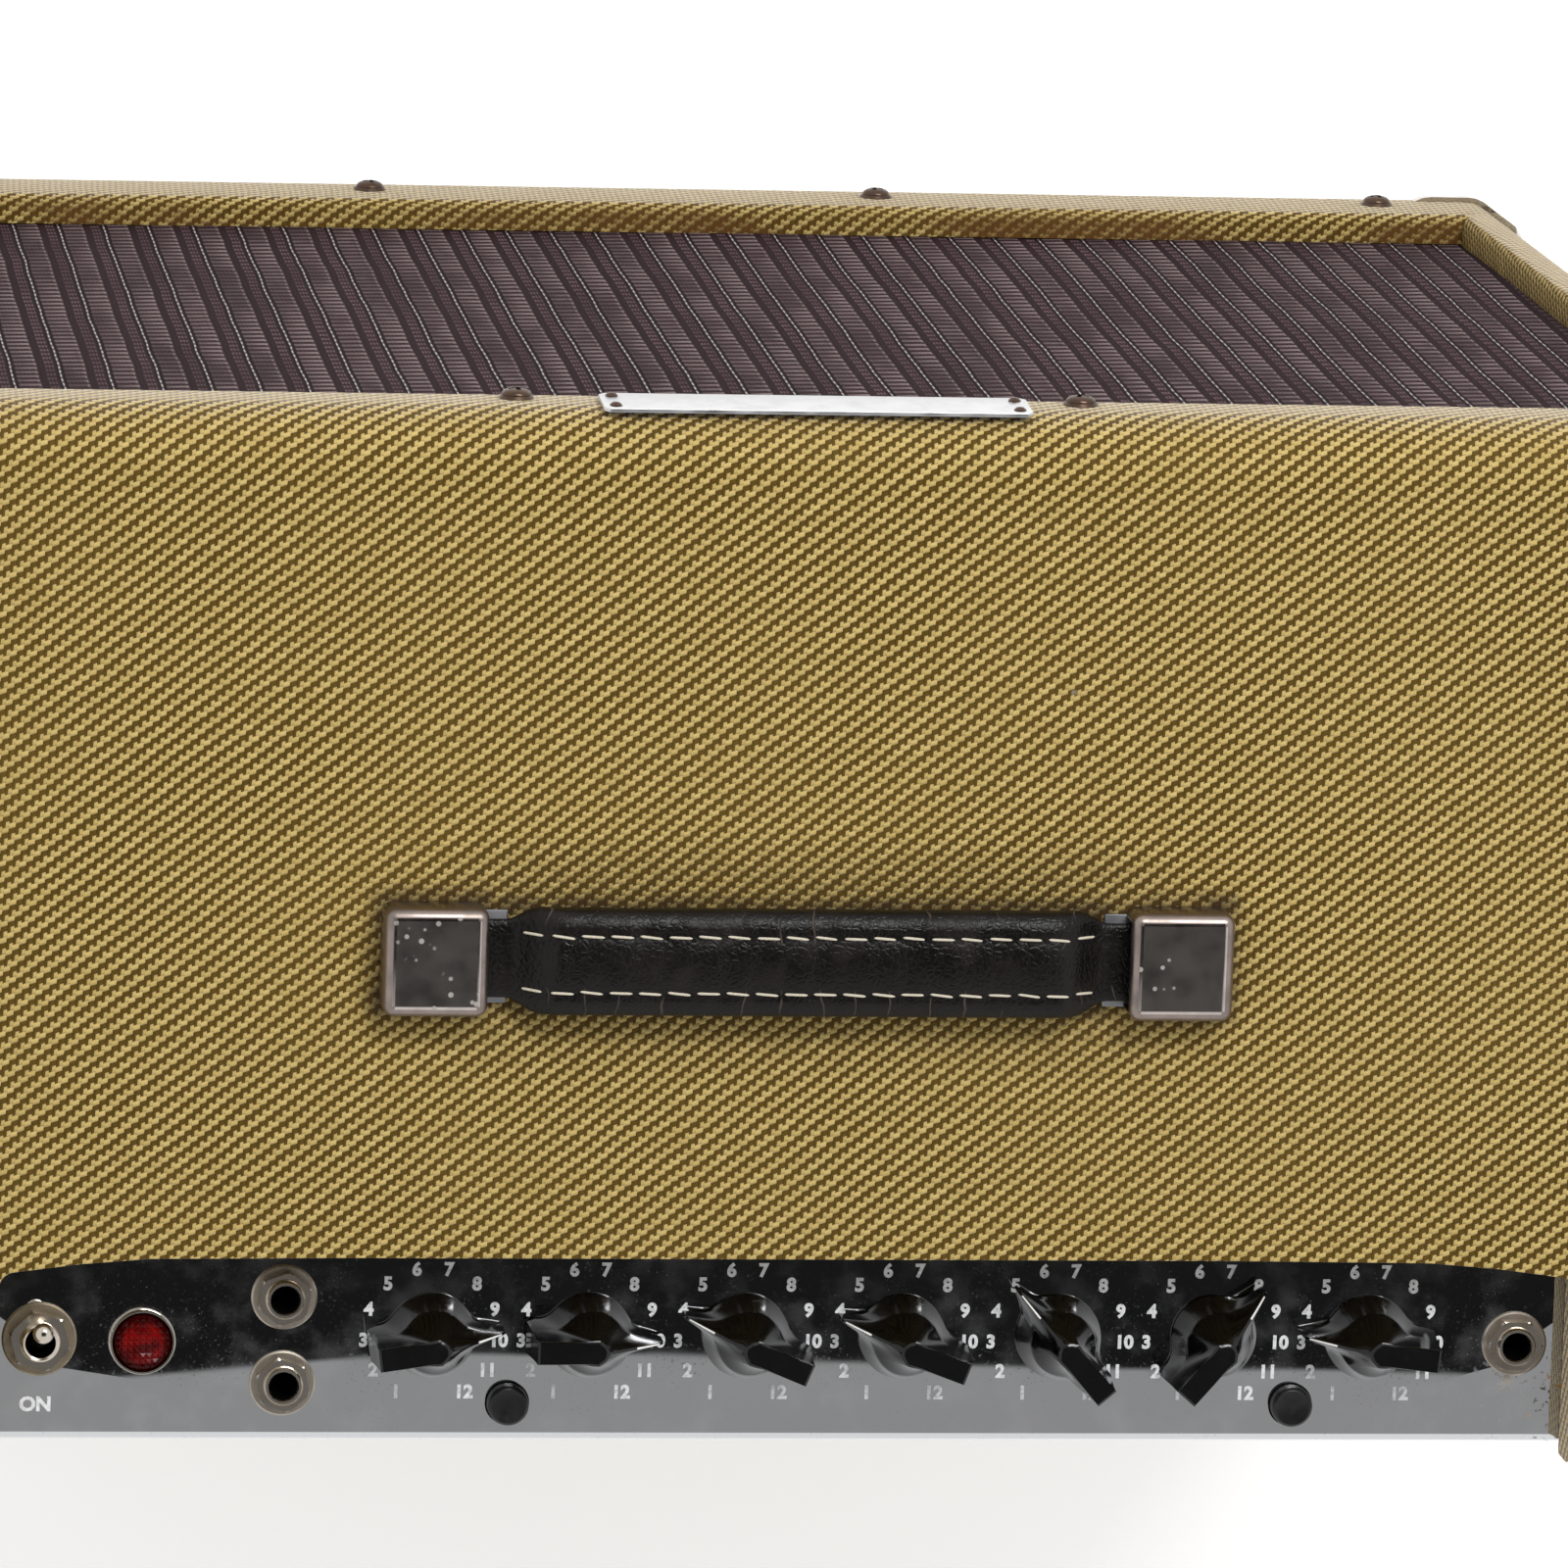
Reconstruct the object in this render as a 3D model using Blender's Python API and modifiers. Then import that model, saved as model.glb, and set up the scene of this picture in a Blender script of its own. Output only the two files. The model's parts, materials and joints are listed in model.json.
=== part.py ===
# Tweed-covered guitar amplifier: cabinet, control panel, speaker and valve chassis.
# Metres, +Z up, front grille faces -Y, origin on the floor under the middle of the cabinet.
import math

import bmesh
import bpy
from mathutils import Matrix, Vector

# General fits
GAP = 0.0003              # air between pieces that touch
RUN_CLEARANCE = 0.0004    # round a part that turns or slides in a hole
SMOOTH_LIMIT_DEG = 40.0   # sharper edges on round pieces stay crisp

# Cabinet
CABINET_WIDTH = 0.470
CABINET_DEPTH = 0.255
CABINET_HEIGHT = 0.400
BOARD_THICKNESS = 0.0135
TOP_THICKNESS = 0.013
BOTTOM_THICKNESS = 0.013
TOP_FRONT_RADIUS = 0.016
EDGE_RADIUS = 0.008
EDGE_SEGMENTS = 4
TOP_RAIL_HEIGHT = 0.032   # from the cabinet's top face down to the rail's lower edge
BOTTOM_RAIL_HEIGHT = 0.037
GRILLE_RECESS = 0.008
CLOTH_THICKNESS = 0.0012
BAFFLE_THICKNESS = 0.015
BACK_PANEL_THICKNESS = 0.009
BACK_PANEL_INSET = 0.002
LOWER_BACK_HEIGHT = 0.135
UPPER_BACK_HEIGHT = 0.082
VENT_COUNT = 7
VENT_WIDTH = 0.036
VENT_HEIGHT = 0.010
VENT_PITCH = 0.052

# Feet and corner protectors
FOOT_HEIGHT = 0.012
FOOT_TOP_RADIUS = 0.019
FOOT_BASE_RADIUS = 0.016
FOOT_HOLE_RADIUS = 0.005
FOOT_HOLE_DEPTH = 0.006
FOOT_INSET_X = 0.050
FOOT_INSET_Y = 0.040
CORNER_THICKNESS = 0.0014
CORNER_SIDE_LEG = 0.056
CORNER_BOTTOM_LEG = 0.022
CORNER_DEPTH = 0.046

# Cut-out for the control panel, in the rear of the top board
CUTOUT_SIDE_ROOM = 0.015   # inside each end of the chassis
CUTOUT_DEPTH = 0.0505     # from the rear edge of the top board
CUTOUT_EASE_LENGTH = 0.036   # of the front edge at each end
CUTOUT_EASE = 0.0038      # how far the front edge comes back towards the ends
CUTOUT_CORNER_RADIUS = 0.004

# Control panel and chassis
SHEET_THICKNESS = 0.0015
PANEL_REAR_INSET = 0.0025
PANEL_UNDER_TOP = 0.011   # how far the panel runs forward under the top board
PANEL_FLANGE_HEIGHT = 0.054
TRAY_SIDE_ROOM = 0.0152   # between the chassis and a cabinet side
TRAY_DEPTH = 0.102
BOARD_SHEET = 0.0016
BOARD_DROP = 0.0180       # circuit board's top face below the panel's top face
CONTROL_BOARD_SIDE_ROOM = 0.010   # inside each end of the chassis
CONTROL_BOARD_DEPTH = 0.064
CONTROL_BOARD_REAR_GAP = 0.0015

# Dials; a share is a place along the panel as a part of the chassis half width
KNOB_NAMES = ("treble", "middle", "bass", "reverb", "post", "pre", "normal")
# pointer angles in the photograph, clockwise from the front as seen from above
KNOB_REST_DEG = (82.0, 90.0, -68.0, -70.0, -41.0, 41.0, -84.0)
FIRST_KNOB_SHARE = 0.416505
KNOB_PITCH_SHARE = 0.184951
KNOB_INSET = 0.0288       # row of knobs from the cabinet's rear plane
KNOB_BASE_RADIUS = 0.0105
KNOB_WAIST_RADIUS = 0.0072
KNOB_BEAK = 0.0170
KNOB_TAIL = 0.0152
KNOB_RIDGE_WIDTH = 0.0058
KNOB_HEIGHT = 0.0195
KNOB_LIFT = 0.0007
KNOB_BEAK_HEIGHT = 0.0085
SHAFT_RADIUS = 0.0030
SHAFT_LENGTH = 0.0075     # below the knob
POT_RADIUS = 0.0085
POT_HEIGHT = 0.0075
POT_BUSH_RADIUS = 0.0048

# Jacks on the panel and at the rear
JACK_WASHER_RADIUS = 0.00795
JACK_WASHER_HEIGHT = 0.0008
JACK_NUT_FLATS = 0.0127
JACK_NUT_HEIGHT = 0.0022
JACK_BARREL_RADIUS = 0.00475
JACK_BARREL_HEIGHT = 0.0036
JACK_BORE_RADIUS = 0.0034
JACK_BORE_DEPTH = 0.014
JACK_BODY_WIDTH = 0.014
JACK_BODY_DEPTH = 0.0135
INPUT_JACK_SHARE = -0.868447
INPUT_JACK_INSET = 0.0273
EFFECTS_JACK_SHARE = 0.589806
EFFECTS_SEND_INSET = 0.0380
EFFECTS_RETURN_INSET = 0.0168
REAR_JACK_DROP = 0.0315   # rear jacks below the panel's top face
SPEAKER_JACK_SHARE = -0.291262
FOOTSWITCH_JACK_SHARE = -0.582524

# Power switch and pilot lamp
SWITCH_SHARE = 0.874272
SWITCH_INSET = 0.0275
SWITCH_WASHER_RADIUS = 0.0085
SWITCH_WASHER_HEIGHT = 0.0009
SWITCH_NUT_FLATS = 0.0145
SWITCH_NUT_HEIGHT = 0.0028
SWITCH_BUSH_RADIUS = 0.0055
SWITCH_BUSH_HEIGHT = 0.0052
SWITCH_BORE_RADIUS = 0.0041
SWITCH_BODY_WIDTH = 0.015
SWITCH_BODY_DEPTH = 0.0130
SWITCH_TILT_DEG = 14.0
LEVER_LENGTH = 0.0150
LEVER_BASE_RADIUS = 0.0013
LEVER_NECK_RADIUS = 0.0015
LEVER_BALL_RADIUS = 0.0025
LEVER_TAIL = 0.0020
LEVER_PIVOT_HEIGHT = 0.0012
PILOT_SHARE = 0.754854
PILOT_INSET = 0.0273
PILOT_BEZEL_RADIUS = 0.0080
PILOT_BEZEL_HEIGHT = 0.0032
PILOT_NECK_RADIUS = 0.0064
PILOT_NECK_LENGTH = 0.0090
PILOT_LENS_RADIUS = 0.0069
PILOT_STEM_RADIUS = 0.0052
PILOT_SEAT = 0.0010
PILOT_DOME = 0.0045

# Push buttons
BUTTON_RADIUS = 0.0050
BUTTON_PROUD = 0.0040
BUTTON_TRAVEL = 0.0030
BUTTON_DEPTH = 0.0090
BUTTON_BEVEL = 0.0008
BOOST_SHARE = 0.325243
CHANNEL_SHARE = -0.603398
BUTTON_INSET = 0.0120
SWITCH_BLOCK = 0.010      # side of the square switch under each button

# Mains inlet
INLET_SHARE = 0.728155
INLET_PLATE_WIDTH = 0.048
INLET_PLATE_HEIGHT = 0.0235
INLET_PLATE_THICKNESS = 0.0025
INLET_BODY_WIDTH = 0.0275
INLET_BODY_HEIGHT = 0.0195
INLET_BODY_DEPTH = 0.020
INLET_WALL = 0.0022
INLET_SOCKET_DEPTH = 0.016

# Handle
HANDLE_Y = 0.003
CAP_CENTRE_X = 0.0895
CAP_LENGTH = 0.0253
CAP_WIDTH = 0.0263
CAP_HEIGHT = 0.011
CAP_WALL = 0.0022
CAP_BEVEL = 0.0026
GRIP_HALF_LENGTH = 0.0723
GRIP_WIDTH = 0.025
GRIP_HEIGHT = 0.0100
GRIP_LIFT = 0.0016        # air under the grip at rest
GRIP_END_TAPER = 0.014
STITCH_ROW = 0.0078
STITCH_GROOVE = 0.0006
TONGUE_WIDTH = 0.019
TONGUE_THICKNESS = 0.0030
TONGUE_REACH = 0.014      # how far the tongue runs into its cap

# Name plate, left blank
PLATE_WIDTH = 0.103
PLATE_HEIGHT = 0.0155
PLATE_THICKNESS = 0.0010
PLATE_CORNER = 0.004
PLATE_DROP = 0.0145       # plate's middle below the top face
PLATE_TILT_DEG = 5.0

# Speaker
SPEAKER_RADIUS = 0.1545
SPEAKER_CENTRE_HEIGHT = 0.190   # above the floor of the cabinet's outside
SPEAKER_FLANGE_WIDTH = 0.016
SPEAKER_FLANGE_THICKNESS = 0.003
BASKET_DEPTH = 0.078
BASKET_WALL_DEPTH = 0.018  # straight wall round the cone's rolled edge
BASKET_SEAT_RADIUS = 0.056
BASKET_THICKNESS = 0.002
BASKET_WINDOWS = 6
BASKET_WINDOW_WIDTH = 0.062
MAGNET_RADIUS = 0.070
MAGNET_HEIGHT = 0.034
MAGNET_BEVEL = 0.003
COIL_RADIUS = 0.022
COIL_LENGTH = 0.016
CONE_THICKNESS = 0.0010
CONE_DEPTH = 0.058
CONE_RIM_CLEARANCE = 0.0015
CONE_TRAVEL = 0.004
CONE_ROLL = 0.006
DUST_CAP_RISE = 0.012
SPEAKER_STEPS = 36

# Chassis parts
TUBE_BOARD_MARGIN = 0.0082   # beyond the end sockets
TUBE_BOARD_DEPTH = 0.040
TUBE_ROW_INSET = 0.052    # row of tubes from the cabinet's rear plane
TUBE_PITCH_SHARE = 0.165049
TUBE_RADIUS = 0.0110
TUBE_SOCKET_RADIUS = 0.0118
TUBE_SOCKET_HEIGHT = 0.009
POWER_TUBE_LENGTH = 0.066
PREAMP_TUBE_LENGTH = 0.052
TUBE_TIP_RADIUS = 0.0025
TUBE_TIP_LENGTH = 0.006
POWER_TUBE_COUNT = 4
PREAMP_TUBE_COUNT = 3
TRANSFORMER_INSET = 0.038   # from the end of the chassis
POWER_CORE = (0.062, 0.050, 0.052)
OUTPUT_CORE = (0.050, 0.042, 0.042)
CORE_STACK_SHARE = 0.62
TRANSFORMER_BEVEL = 0.0015

# Reverb tank
TANK_LENGTH = 0.236
TANK_DEPTH = 0.084
TANK_HEIGHT = 0.032
TANK_WALL = 0.0015
TANK_INSET = 0.060        # tank's middle from the cabinet's rear plane

# Worked-out planes
HALF_WIDTH = CABINET_WIDTH / 2
FRONT_Y = -CABINET_DEPTH / 2
REAR_Y = CABINET_DEPTH / 2
FLOOR_Z = FOOT_HEIGHT
TOP_Z = FLOOR_Z + CABINET_HEIGHT
INNER_HALF = HALF_WIDTH - BOARD_THICKNESS - GAP
INNER_TOP = TOP_Z - TOP_THICKNESS - GAP
INNER_FLOOR = FLOOR_Z + BOTTOM_THICKNESS + GAP
PANEL_Z = INNER_TOP
PANEL_UNDERSIDE = PANEL_Z - SHEET_THICKNESS
PANEL_REAR = REAR_Y - PANEL_REAR_INSET
CUTOUT_FRONT = REAR_Y - CUTOUT_DEPTH
PANEL_FRONT = CUTOUT_FRONT - PANEL_UNDER_TOP
FLANGE_BOTTOM = PANEL_Z - PANEL_FLANGE_HEIGHT
KNOB_Y = REAR_Y - KNOB_INSET
BOARD_TOP = PANEL_Z - BOARD_DROP
CLOTH_FRONT = FRONT_Y + GRILLE_RECESS
BAFFLE_FRONT = CLOTH_FRONT + CLOTH_THICKNESS + GAP
BAFFLE_REAR = BAFFLE_FRONT + BAFFLE_THICKNESS
SPEAKER_Z = FLOOR_Z + SPEAKER_CENTRE_HEIGHT
TRAY_REAR = PANEL_REAR - SHEET_THICKNESS - GAP
TRAY_FRONT = TRAY_REAR - TRAY_DEPTH
TUBE_BOARD_TOP = FLANGE_BOTTOM - GAP
TUBE_BOARD_BOTTOM = TUBE_BOARD_TOP - BOARD_SHEET
TUBE_Y = REAR_Y - TUBE_ROW_INSET
TRAY_HALF_WIDTH = INNER_HALF - TRAY_SIDE_ROOM
CONTROL_BOARD_HALF_WIDTH = TRAY_HALF_WIDTH - CONTROL_BOARD_SIDE_ROOM
CUTOUT_HALF_WIDTH = TRAY_HALF_WIDTH - CUTOUT_SIDE_ROOM
CUTOUT_STRAIGHT_HALF = CUTOUT_HALF_WIDTH - CUTOUT_EASE_LENGTH
INLET_X = TRAY_HALF_WIDTH * INLET_SHARE
SPEAKER_JACK_X = TRAY_HALF_WIDTH * SPEAKER_JACK_SHARE
FOOTSWITCH_JACK_X = TRAY_HALF_WIDTH * FOOTSWITCH_JACK_SHARE
FIRST_KNOB_X = TRAY_HALF_WIDTH * FIRST_KNOB_SHARE
KNOB_PITCH = TRAY_HALF_WIDTH * KNOB_PITCH_SHARE
INPUT_JACK_X = TRAY_HALF_WIDTH * INPUT_JACK_SHARE
EFFECTS_JACK_X = TRAY_HALF_WIDTH * EFFECTS_JACK_SHARE
SWITCH_X = TRAY_HALF_WIDTH * SWITCH_SHARE
PILOT_X = TRAY_HALF_WIDTH * PILOT_SHARE
BOOST_X = TRAY_HALF_WIDTH * BOOST_SHARE
CHANNEL_X = TRAY_HALF_WIDTH * CHANNEL_SHARE
TUBE_COUNT = POWER_TUBE_COUNT + PREAMP_TUBE_COUNT
TUBE_PITCH = TRAY_HALF_WIDTH * TUBE_PITCH_SHARE
TUBE_BOARD_HALF_WIDTH = (TUBE_COUNT - 1) / 2 * TUBE_PITCH + TUBE_SOCKET_RADIUS + TUBE_BOARD_MARGIN
TRANSFORMER_X = TRAY_HALF_WIDTH - TRANSFORMER_INSET


def clear_scene():
    for item in list(bpy.data.objects):
        bpy.data.objects.remove(item, do_unlink=True)


def make_collection(name, hidden):
    collection = bpy.data.collections.new(name)
    bpy.context.scene.collection.children.link(collection)
    collection.hide_render = hidden
    return collection


def make_material(name, colour, roughness, metallic):
    material = bpy.data.materials.new(name)
    material.use_nodes = True
    shader = material.node_tree.nodes["Principled BSDF"]
    shader.inputs["Base Color"].default_value = (*colour, 1.0)
    shader.inputs["Roughness"].default_value = roughness
    shader.inputs["Metallic"].default_value = metallic
    material.diffuse_color = (*colour, 1.0)
    return material


def add_part(name, mesh, finish):
    part = bpy.data.objects.new(name, mesh)
    colour, roughness, metallic = finish
    mesh.materials.clear()
    mesh.materials.append(make_material(name + "_finish", colour, roughness, metallic))
    parts.objects.link(part)
    return part


def add_cutter(name, mesh):
    cutter = bpy.data.objects.new(name, mesh)
    cutter.display_type = "WIRE"
    cutter.hide_render = True
    cutters.objects.link(cutter)
    return cutter


def mesh_from(name, fill):
    mesh = bpy.data.meshes.new(name)
    work = bmesh.new()
    fill(work)
    work.to_mesh(mesh)
    work.free()
    return mesh


def fill_box(work, low, high):
    size = [b - a for a, b in zip(low, high)]
    middle = [(a + b) / 2 for a, b in zip(low, high)]
    place = Matrix.Translation(middle) @ Matrix.Diagonal((*size, 1.0))
    bmesh.ops.create_cube(work, size=1.0, matrix=place)


def box_mesh(name, low, high):
    return mesh_from(name, lambda work: fill_box(work, low, high))


def fill_rod(work, radius, foot, length, direction, sides):
    turn = Vector((0, 0, 1)).rotation_difference(Vector(direction)).to_matrix().to_4x4()
    place = Matrix.Translation(Vector(foot) + Vector(direction) * (length / 2)) @ turn
    bmesh.ops.create_cone(work, cap_ends=True, segments=sides, radius1=radius, radius2=radius,
                          depth=length, matrix=place)


def rod_mesh(name, radius, foot, length, direction=(0, 0, 1), sides=16):
    return mesh_from(name, lambda work: fill_rod(work, radius, foot, length, direction, sides))


def join_meshes(name, meshes):
    # several closed shapes that don't touch, used as one cutter
    def fill(work):
        for mesh in meshes:
            work.from_mesh(mesh)
    return mesh_from(name, fill)


def boolean(part, cutter, operation):
    change = part.modifiers.new(operation.lower(), "BOOLEAN")
    change.operation = operation
    change.solver = "EXACT"
    change.object = cutter


def cut(part, mesh):
    boolean(part, add_cutter(part.name + "_cutter", mesh), "DIFFERENCE")


def unite(part, mesh):
    boolean(part, add_cutter(part.name + "_join", mesh), "UNION")


def bevel(part, width, segments=2, angle_deg=40.0):
    change = part.modifiers.new("edges", "BEVEL")
    change.width = width
    change.segments = segments
    change.limit_method = "ANGLE"
    change.angle_limit = math.radians(angle_deg)


def turned_part(name, profile, finish, steps=24):
    # profile of (radius, height) points, from the top down its outer side
    mesh = bpy.data.meshes.new(name)
    points = [(radius, 0.0, height) for radius, height in profile]
    lines = [(index, index + 1) for index in range(len(points) - 1)]
    if profile[0][0] > 0:
        lines.append((len(points) - 1, 0))
    mesh.from_pydata(points, lines, [])
    part = add_part(name, mesh, finish)
    screw = part.modifiers.new("turn", "SCREW")
    screw.axis = "Z"
    screw.steps = steps
    screw.render_steps = steps
    screw.use_merge_vertices = True
    screw.merge_threshold = 0.00005
    weld = part.modifiers.new("close", "WELD")
    weld.merge_threshold = 0.00005
    return part


def outline_mesh(name, outline, low, high):
    # flat outline in XY between two heights
    curve = bpy.data.curves.new(name, "CURVE")
    curve.dimensions = "2D"
    curve.fill_mode = "BOTH"
    curve.extrude = (high - low) / 2
    spline = curve.splines.new("POLY")
    spline.points.add(len(outline) - 1)
    for point, (x, y) in zip(spline.points, outline):
        point.co = (x, y, 0.0, 1.0)
    spline.use_cyclic_u = True
    source = bpy.data.objects.new(name, curve)
    bpy.context.scene.collection.objects.link(source)
    bpy.context.view_layer.update()
    evaluated = source.evaluated_get(bpy.context.evaluated_depsgraph_get())
    mesh = bpy.data.meshes.new_from_object(evaluated)
    bpy.data.objects.remove(source, do_unlink=True)
    work = bmesh.new()
    work.from_mesh(mesh)
    bmesh.ops.remove_doubles(work, verts=work.verts, dist=0.00001)
    bmesh.ops.translate(work, verts=work.verts, vec=(0, 0, (low + high) / 2))
    bmesh.ops.recalc_face_normals(work, faces=work.faces)
    work.to_mesh(mesh)
    work.free()
    return mesh


def arc(centre, radius, start_deg, end_deg, steps):
    points = []
    for index in range(steps + 1):
        angle = math.radians(start_deg + (end_deg - start_deg) * index / steps)
        points.append((centre[0] + radius * math.cos(angle), centre[1] + radius * math.sin(angle)))
    return points


def hexagon(across_flats):
    return arc((0, 0), across_flats / math.sqrt(3), 30, 330, 5)


def turn_mesh(mesh, matrix):
    mesh.transform(matrix)
    mesh.update()
    return mesh


def loft_mesh(name, rings):
    # closed skin over rings of equal point counts, with a fan-free cap at each end
    def fill(work):
        loops = [[work.verts.new(point) for point in ring] for ring in rings]
        count = len(rings[0])
        for lower, upper in zip(loops, loops[1:]):
            for index in range(count):
                after = (index + 1) % count
                work.faces.new((lower[index], lower[after], upper[after], upper[index]))
        work.faces.new(list(reversed(loops[0])))
        work.faces.new(loops[-1])
        bmesh.ops.recalc_face_normals(work, faces=work.faces)
    return mesh_from(name, fill)


def smooth(part):
    part.data.shade_smooth()
    part.data.set_sharp_from_angle(angle=math.radians(SMOOTH_LIMIT_DEG))


# Finishes: colour, roughness, metallic
TWEED = ((0.42, 0.30, 0.11), 0.85, 0.0)
GRILLE = ((0.06, 0.035, 0.045), 0.9, 0.0)
PLYWOOD = ((0.45, 0.32, 0.18), 0.8, 0.0)
BLACK_PAINT = ((0.02, 0.02, 0.02), 0.6, 0.0)
CHROME = ((0.55, 0.55, 0.56), 0.12, 1.0)
NICKEL = ((0.50, 0.47, 0.43), 0.3, 1.0)
BRIGHT_PLATE = ((0.80, 0.80, 0.80), 0.3, 1.0)
STEEL = ((0.42, 0.42, 0.44), 0.45, 1.0)
BLACK_PLASTIC = ((0.012, 0.012, 0.012), 0.15, 0.0)
RED_LENS = ((0.45, 0.01, 0.01), 0.1, 0.0)
RUBBER = ((0.015, 0.015, 0.015), 0.8, 0.0)
LEATHER = ((0.012, 0.010, 0.009), 0.45, 0.0)
GLASS = ((0.75, 0.80, 0.80), 0.05, 0.0)
CIRCUIT = ((0.05, 0.16, 0.07), 0.5, 0.0)
PAPER_CONE = ((0.03, 0.028, 0.026), 0.9, 0.0)
FERRITE = ((0.05, 0.05, 0.055), 0.6, 0.0)

# Words in the names of round pieces, which are shaded smooth
ROUND_PIECES = ("_knob", "_tube_", "_lens", "_bezel", "_cone", "_lever", "_jack", "_button", "_magnet",
                "foot_", "switch_body")


def outer_envelope():
    # cabinet block with every outer edge rounded, the top front edge most
    mesh = box_mesh("envelope", (-HALF_WIDTH, FRONT_Y, FLOOR_Z), (HALF_WIDTH, REAR_Y, TOP_Z))
    weights = mesh.attributes.new("bevel_weight_edge", "FLOAT", "EDGE")
    for edge in mesh.edges:
        ends = [mesh.vertices[index].co for index in edge.vertices]
        at_top = all(abs(end.z - TOP_Z) < GAP for end in ends)
        at_front = all(abs(end.y - FRONT_Y) < GAP for end in ends)
        along_x = abs(ends[0].x - ends[1].x) > GAP
        rounded_most = at_top and at_front and along_x
        weights.data[edge.index].value = 1.0 if rounded_most else EDGE_RADIUS / TOP_FRONT_RADIUS
    envelope = add_cutter("cabinet_envelope", mesh)
    change = envelope.modifiers.new("edges", "BEVEL")
    change.limit_method = "WEIGHT"
    change.width = TOP_FRONT_RADIUS
    change.segments = EDGE_SEGMENTS
    return envelope


def cutout_outline():
    side = CUTOUT_HALF_WIDTH
    eased = CUTOUT_FRONT + CUTOUT_EASE
    radius = CUTOUT_CORNER_RADIUS
    right = [(CUTOUT_STRAIGHT_HALF, CUTOUT_FRONT)]
    right += arc((side - radius, eased + radius), radius, -90, 0, 3)
    right.append((side, REAR_Y + radius))
    left = [(-x, y) for x, y in reversed(right)]
    return right + left


def make_cabinet():
    envelope = outer_envelope()
    shell = {
        "cabinet_top": ((-HALF_WIDTH, FRONT_Y, TOP_Z - TOP_THICKNESS), (HALF_WIDTH, REAR_Y, TOP_Z)),
        "cabinet_bottom": ((-HALF_WIDTH, FRONT_Y, FLOOR_Z),
                           (HALF_WIDTH, REAR_Y, FLOOR_Z + BOTTOM_THICKNESS)),
        "cabinet_left_side": ((-HALF_WIDTH, FRONT_Y, INNER_FLOOR),
                              (-HALF_WIDTH + BOARD_THICKNESS, REAR_Y, INNER_TOP)),
        "cabinet_right_side": ((HALF_WIDTH - BOARD_THICKNESS, FRONT_Y, INNER_FLOOR),
                               (HALF_WIDTH, REAR_Y, INNER_TOP)),
        "front_rail_top": ((-INNER_HALF, FRONT_Y, TOP_Z - TOP_RAIL_HEIGHT),
                           (INNER_HALF, CLOTH_FRONT - GAP, INNER_TOP)),
        "front_rail_bottom": ((-INNER_HALF, FRONT_Y, INNER_FLOOR),
                              (INNER_HALF, CLOTH_FRONT - GAP, FLOOR_Z + BOTTOM_RAIL_HEIGHT)),
    }
    for name, (low, high) in shell.items():
        board = add_part(name, box_mesh(name, low, high), TWEED)
        boolean(board, envelope, "INTERSECT")
        if name == "cabinet_top":
            low_z = TOP_Z - 2 * TOP_THICKNESS
            cut(board, outline_mesh("control_cutout", cutout_outline(), low_z, TOP_Z + GAP))


def make_front():
    low = (-INNER_HALF, CLOTH_FRONT, INNER_FLOOR)
    high = (INNER_HALF, CLOTH_FRONT + CLOTH_THICKNESS, INNER_TOP)
    add_part("grille_cloth", box_mesh("grille_cloth", low, high), GRILLE)
    low = (-INNER_HALF, BAFFLE_FRONT, INNER_FLOOR)
    high = (INNER_HALF, BAFFLE_REAR, INNER_TOP)
    baffle = add_part("baffle_board", box_mesh("baffle_board", low, high), PLYWOOD)
    hole = rod_mesh("speaker_hole", SPEAKER_RADIUS - SPEAKER_FLANGE_WIDTH,
                    (0, BAFFLE_FRONT - GAP, SPEAKER_Z), BAFFLE_THICKNESS + 2 * GAP, (0, 1, 0),
                    SPEAKER_STEPS)
    cut(baffle, hole)


def make_back_panels():
    rear = REAR_Y - BACK_PANEL_INSET
    front = rear - BACK_PANEL_THICKNESS
    high_z = FLANGE_BOTTOM - GAP
    upper = add_part("upper_back_panel",
                     box_mesh("upper_back_panel", (-INNER_HALF, front, high_z - UPPER_BACK_HEIGHT),
                              (INNER_HALF, rear, high_z)), TWEED)
    middle = high_z - UPPER_BACK_HEIGHT / 2
    slots = []
    for index in range(VENT_COUNT):
        x = (index - (VENT_COUNT - 1) / 2) * VENT_PITCH
        slots.append(box_mesh("vent", (x - VENT_WIDTH / 2, front - GAP, middle - VENT_HEIGHT / 2),
                              (x + VENT_WIDTH / 2, rear + GAP, middle + VENT_HEIGHT / 2)))
    cut(upper, join_meshes("vents", slots))
    add_part("lower_back_panel",
             box_mesh("lower_back_panel", (-INNER_HALF, front, INNER_FLOOR),
                      (INNER_HALF, rear, INNER_FLOOR + LOWER_BACK_HEIGHT)), TWEED)


def make_feet_and_corners():
    for side, x_sign in (("left", -1), ("right", 1)):
        for end, y_sign in (("front", -1), ("rear", 1)):
            profile = [(FOOT_TOP_RADIUS, FOOT_HEIGHT - GAP), (FOOT_BASE_RADIUS, 0.0),
                       (FOOT_HOLE_RADIUS, 0.0), (FOOT_HOLE_RADIUS, FOOT_HOLE_DEPTH),
                       (0.0, FOOT_HOLE_DEPTH)]
            profile = [(0.0, FOOT_HEIGHT - GAP)] + profile
            foot = turned_part(f"foot_{end}_{side}", profile, RUBBER, 20)
            foot.location = (x_sign * (HALF_WIDTH - FOOT_INSET_X),
                             y_sign * (REAR_Y - FOOT_INSET_Y), 0.0)
            make_corner(f"corner_{end}_{side}", x_sign, y_sign)


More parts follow.
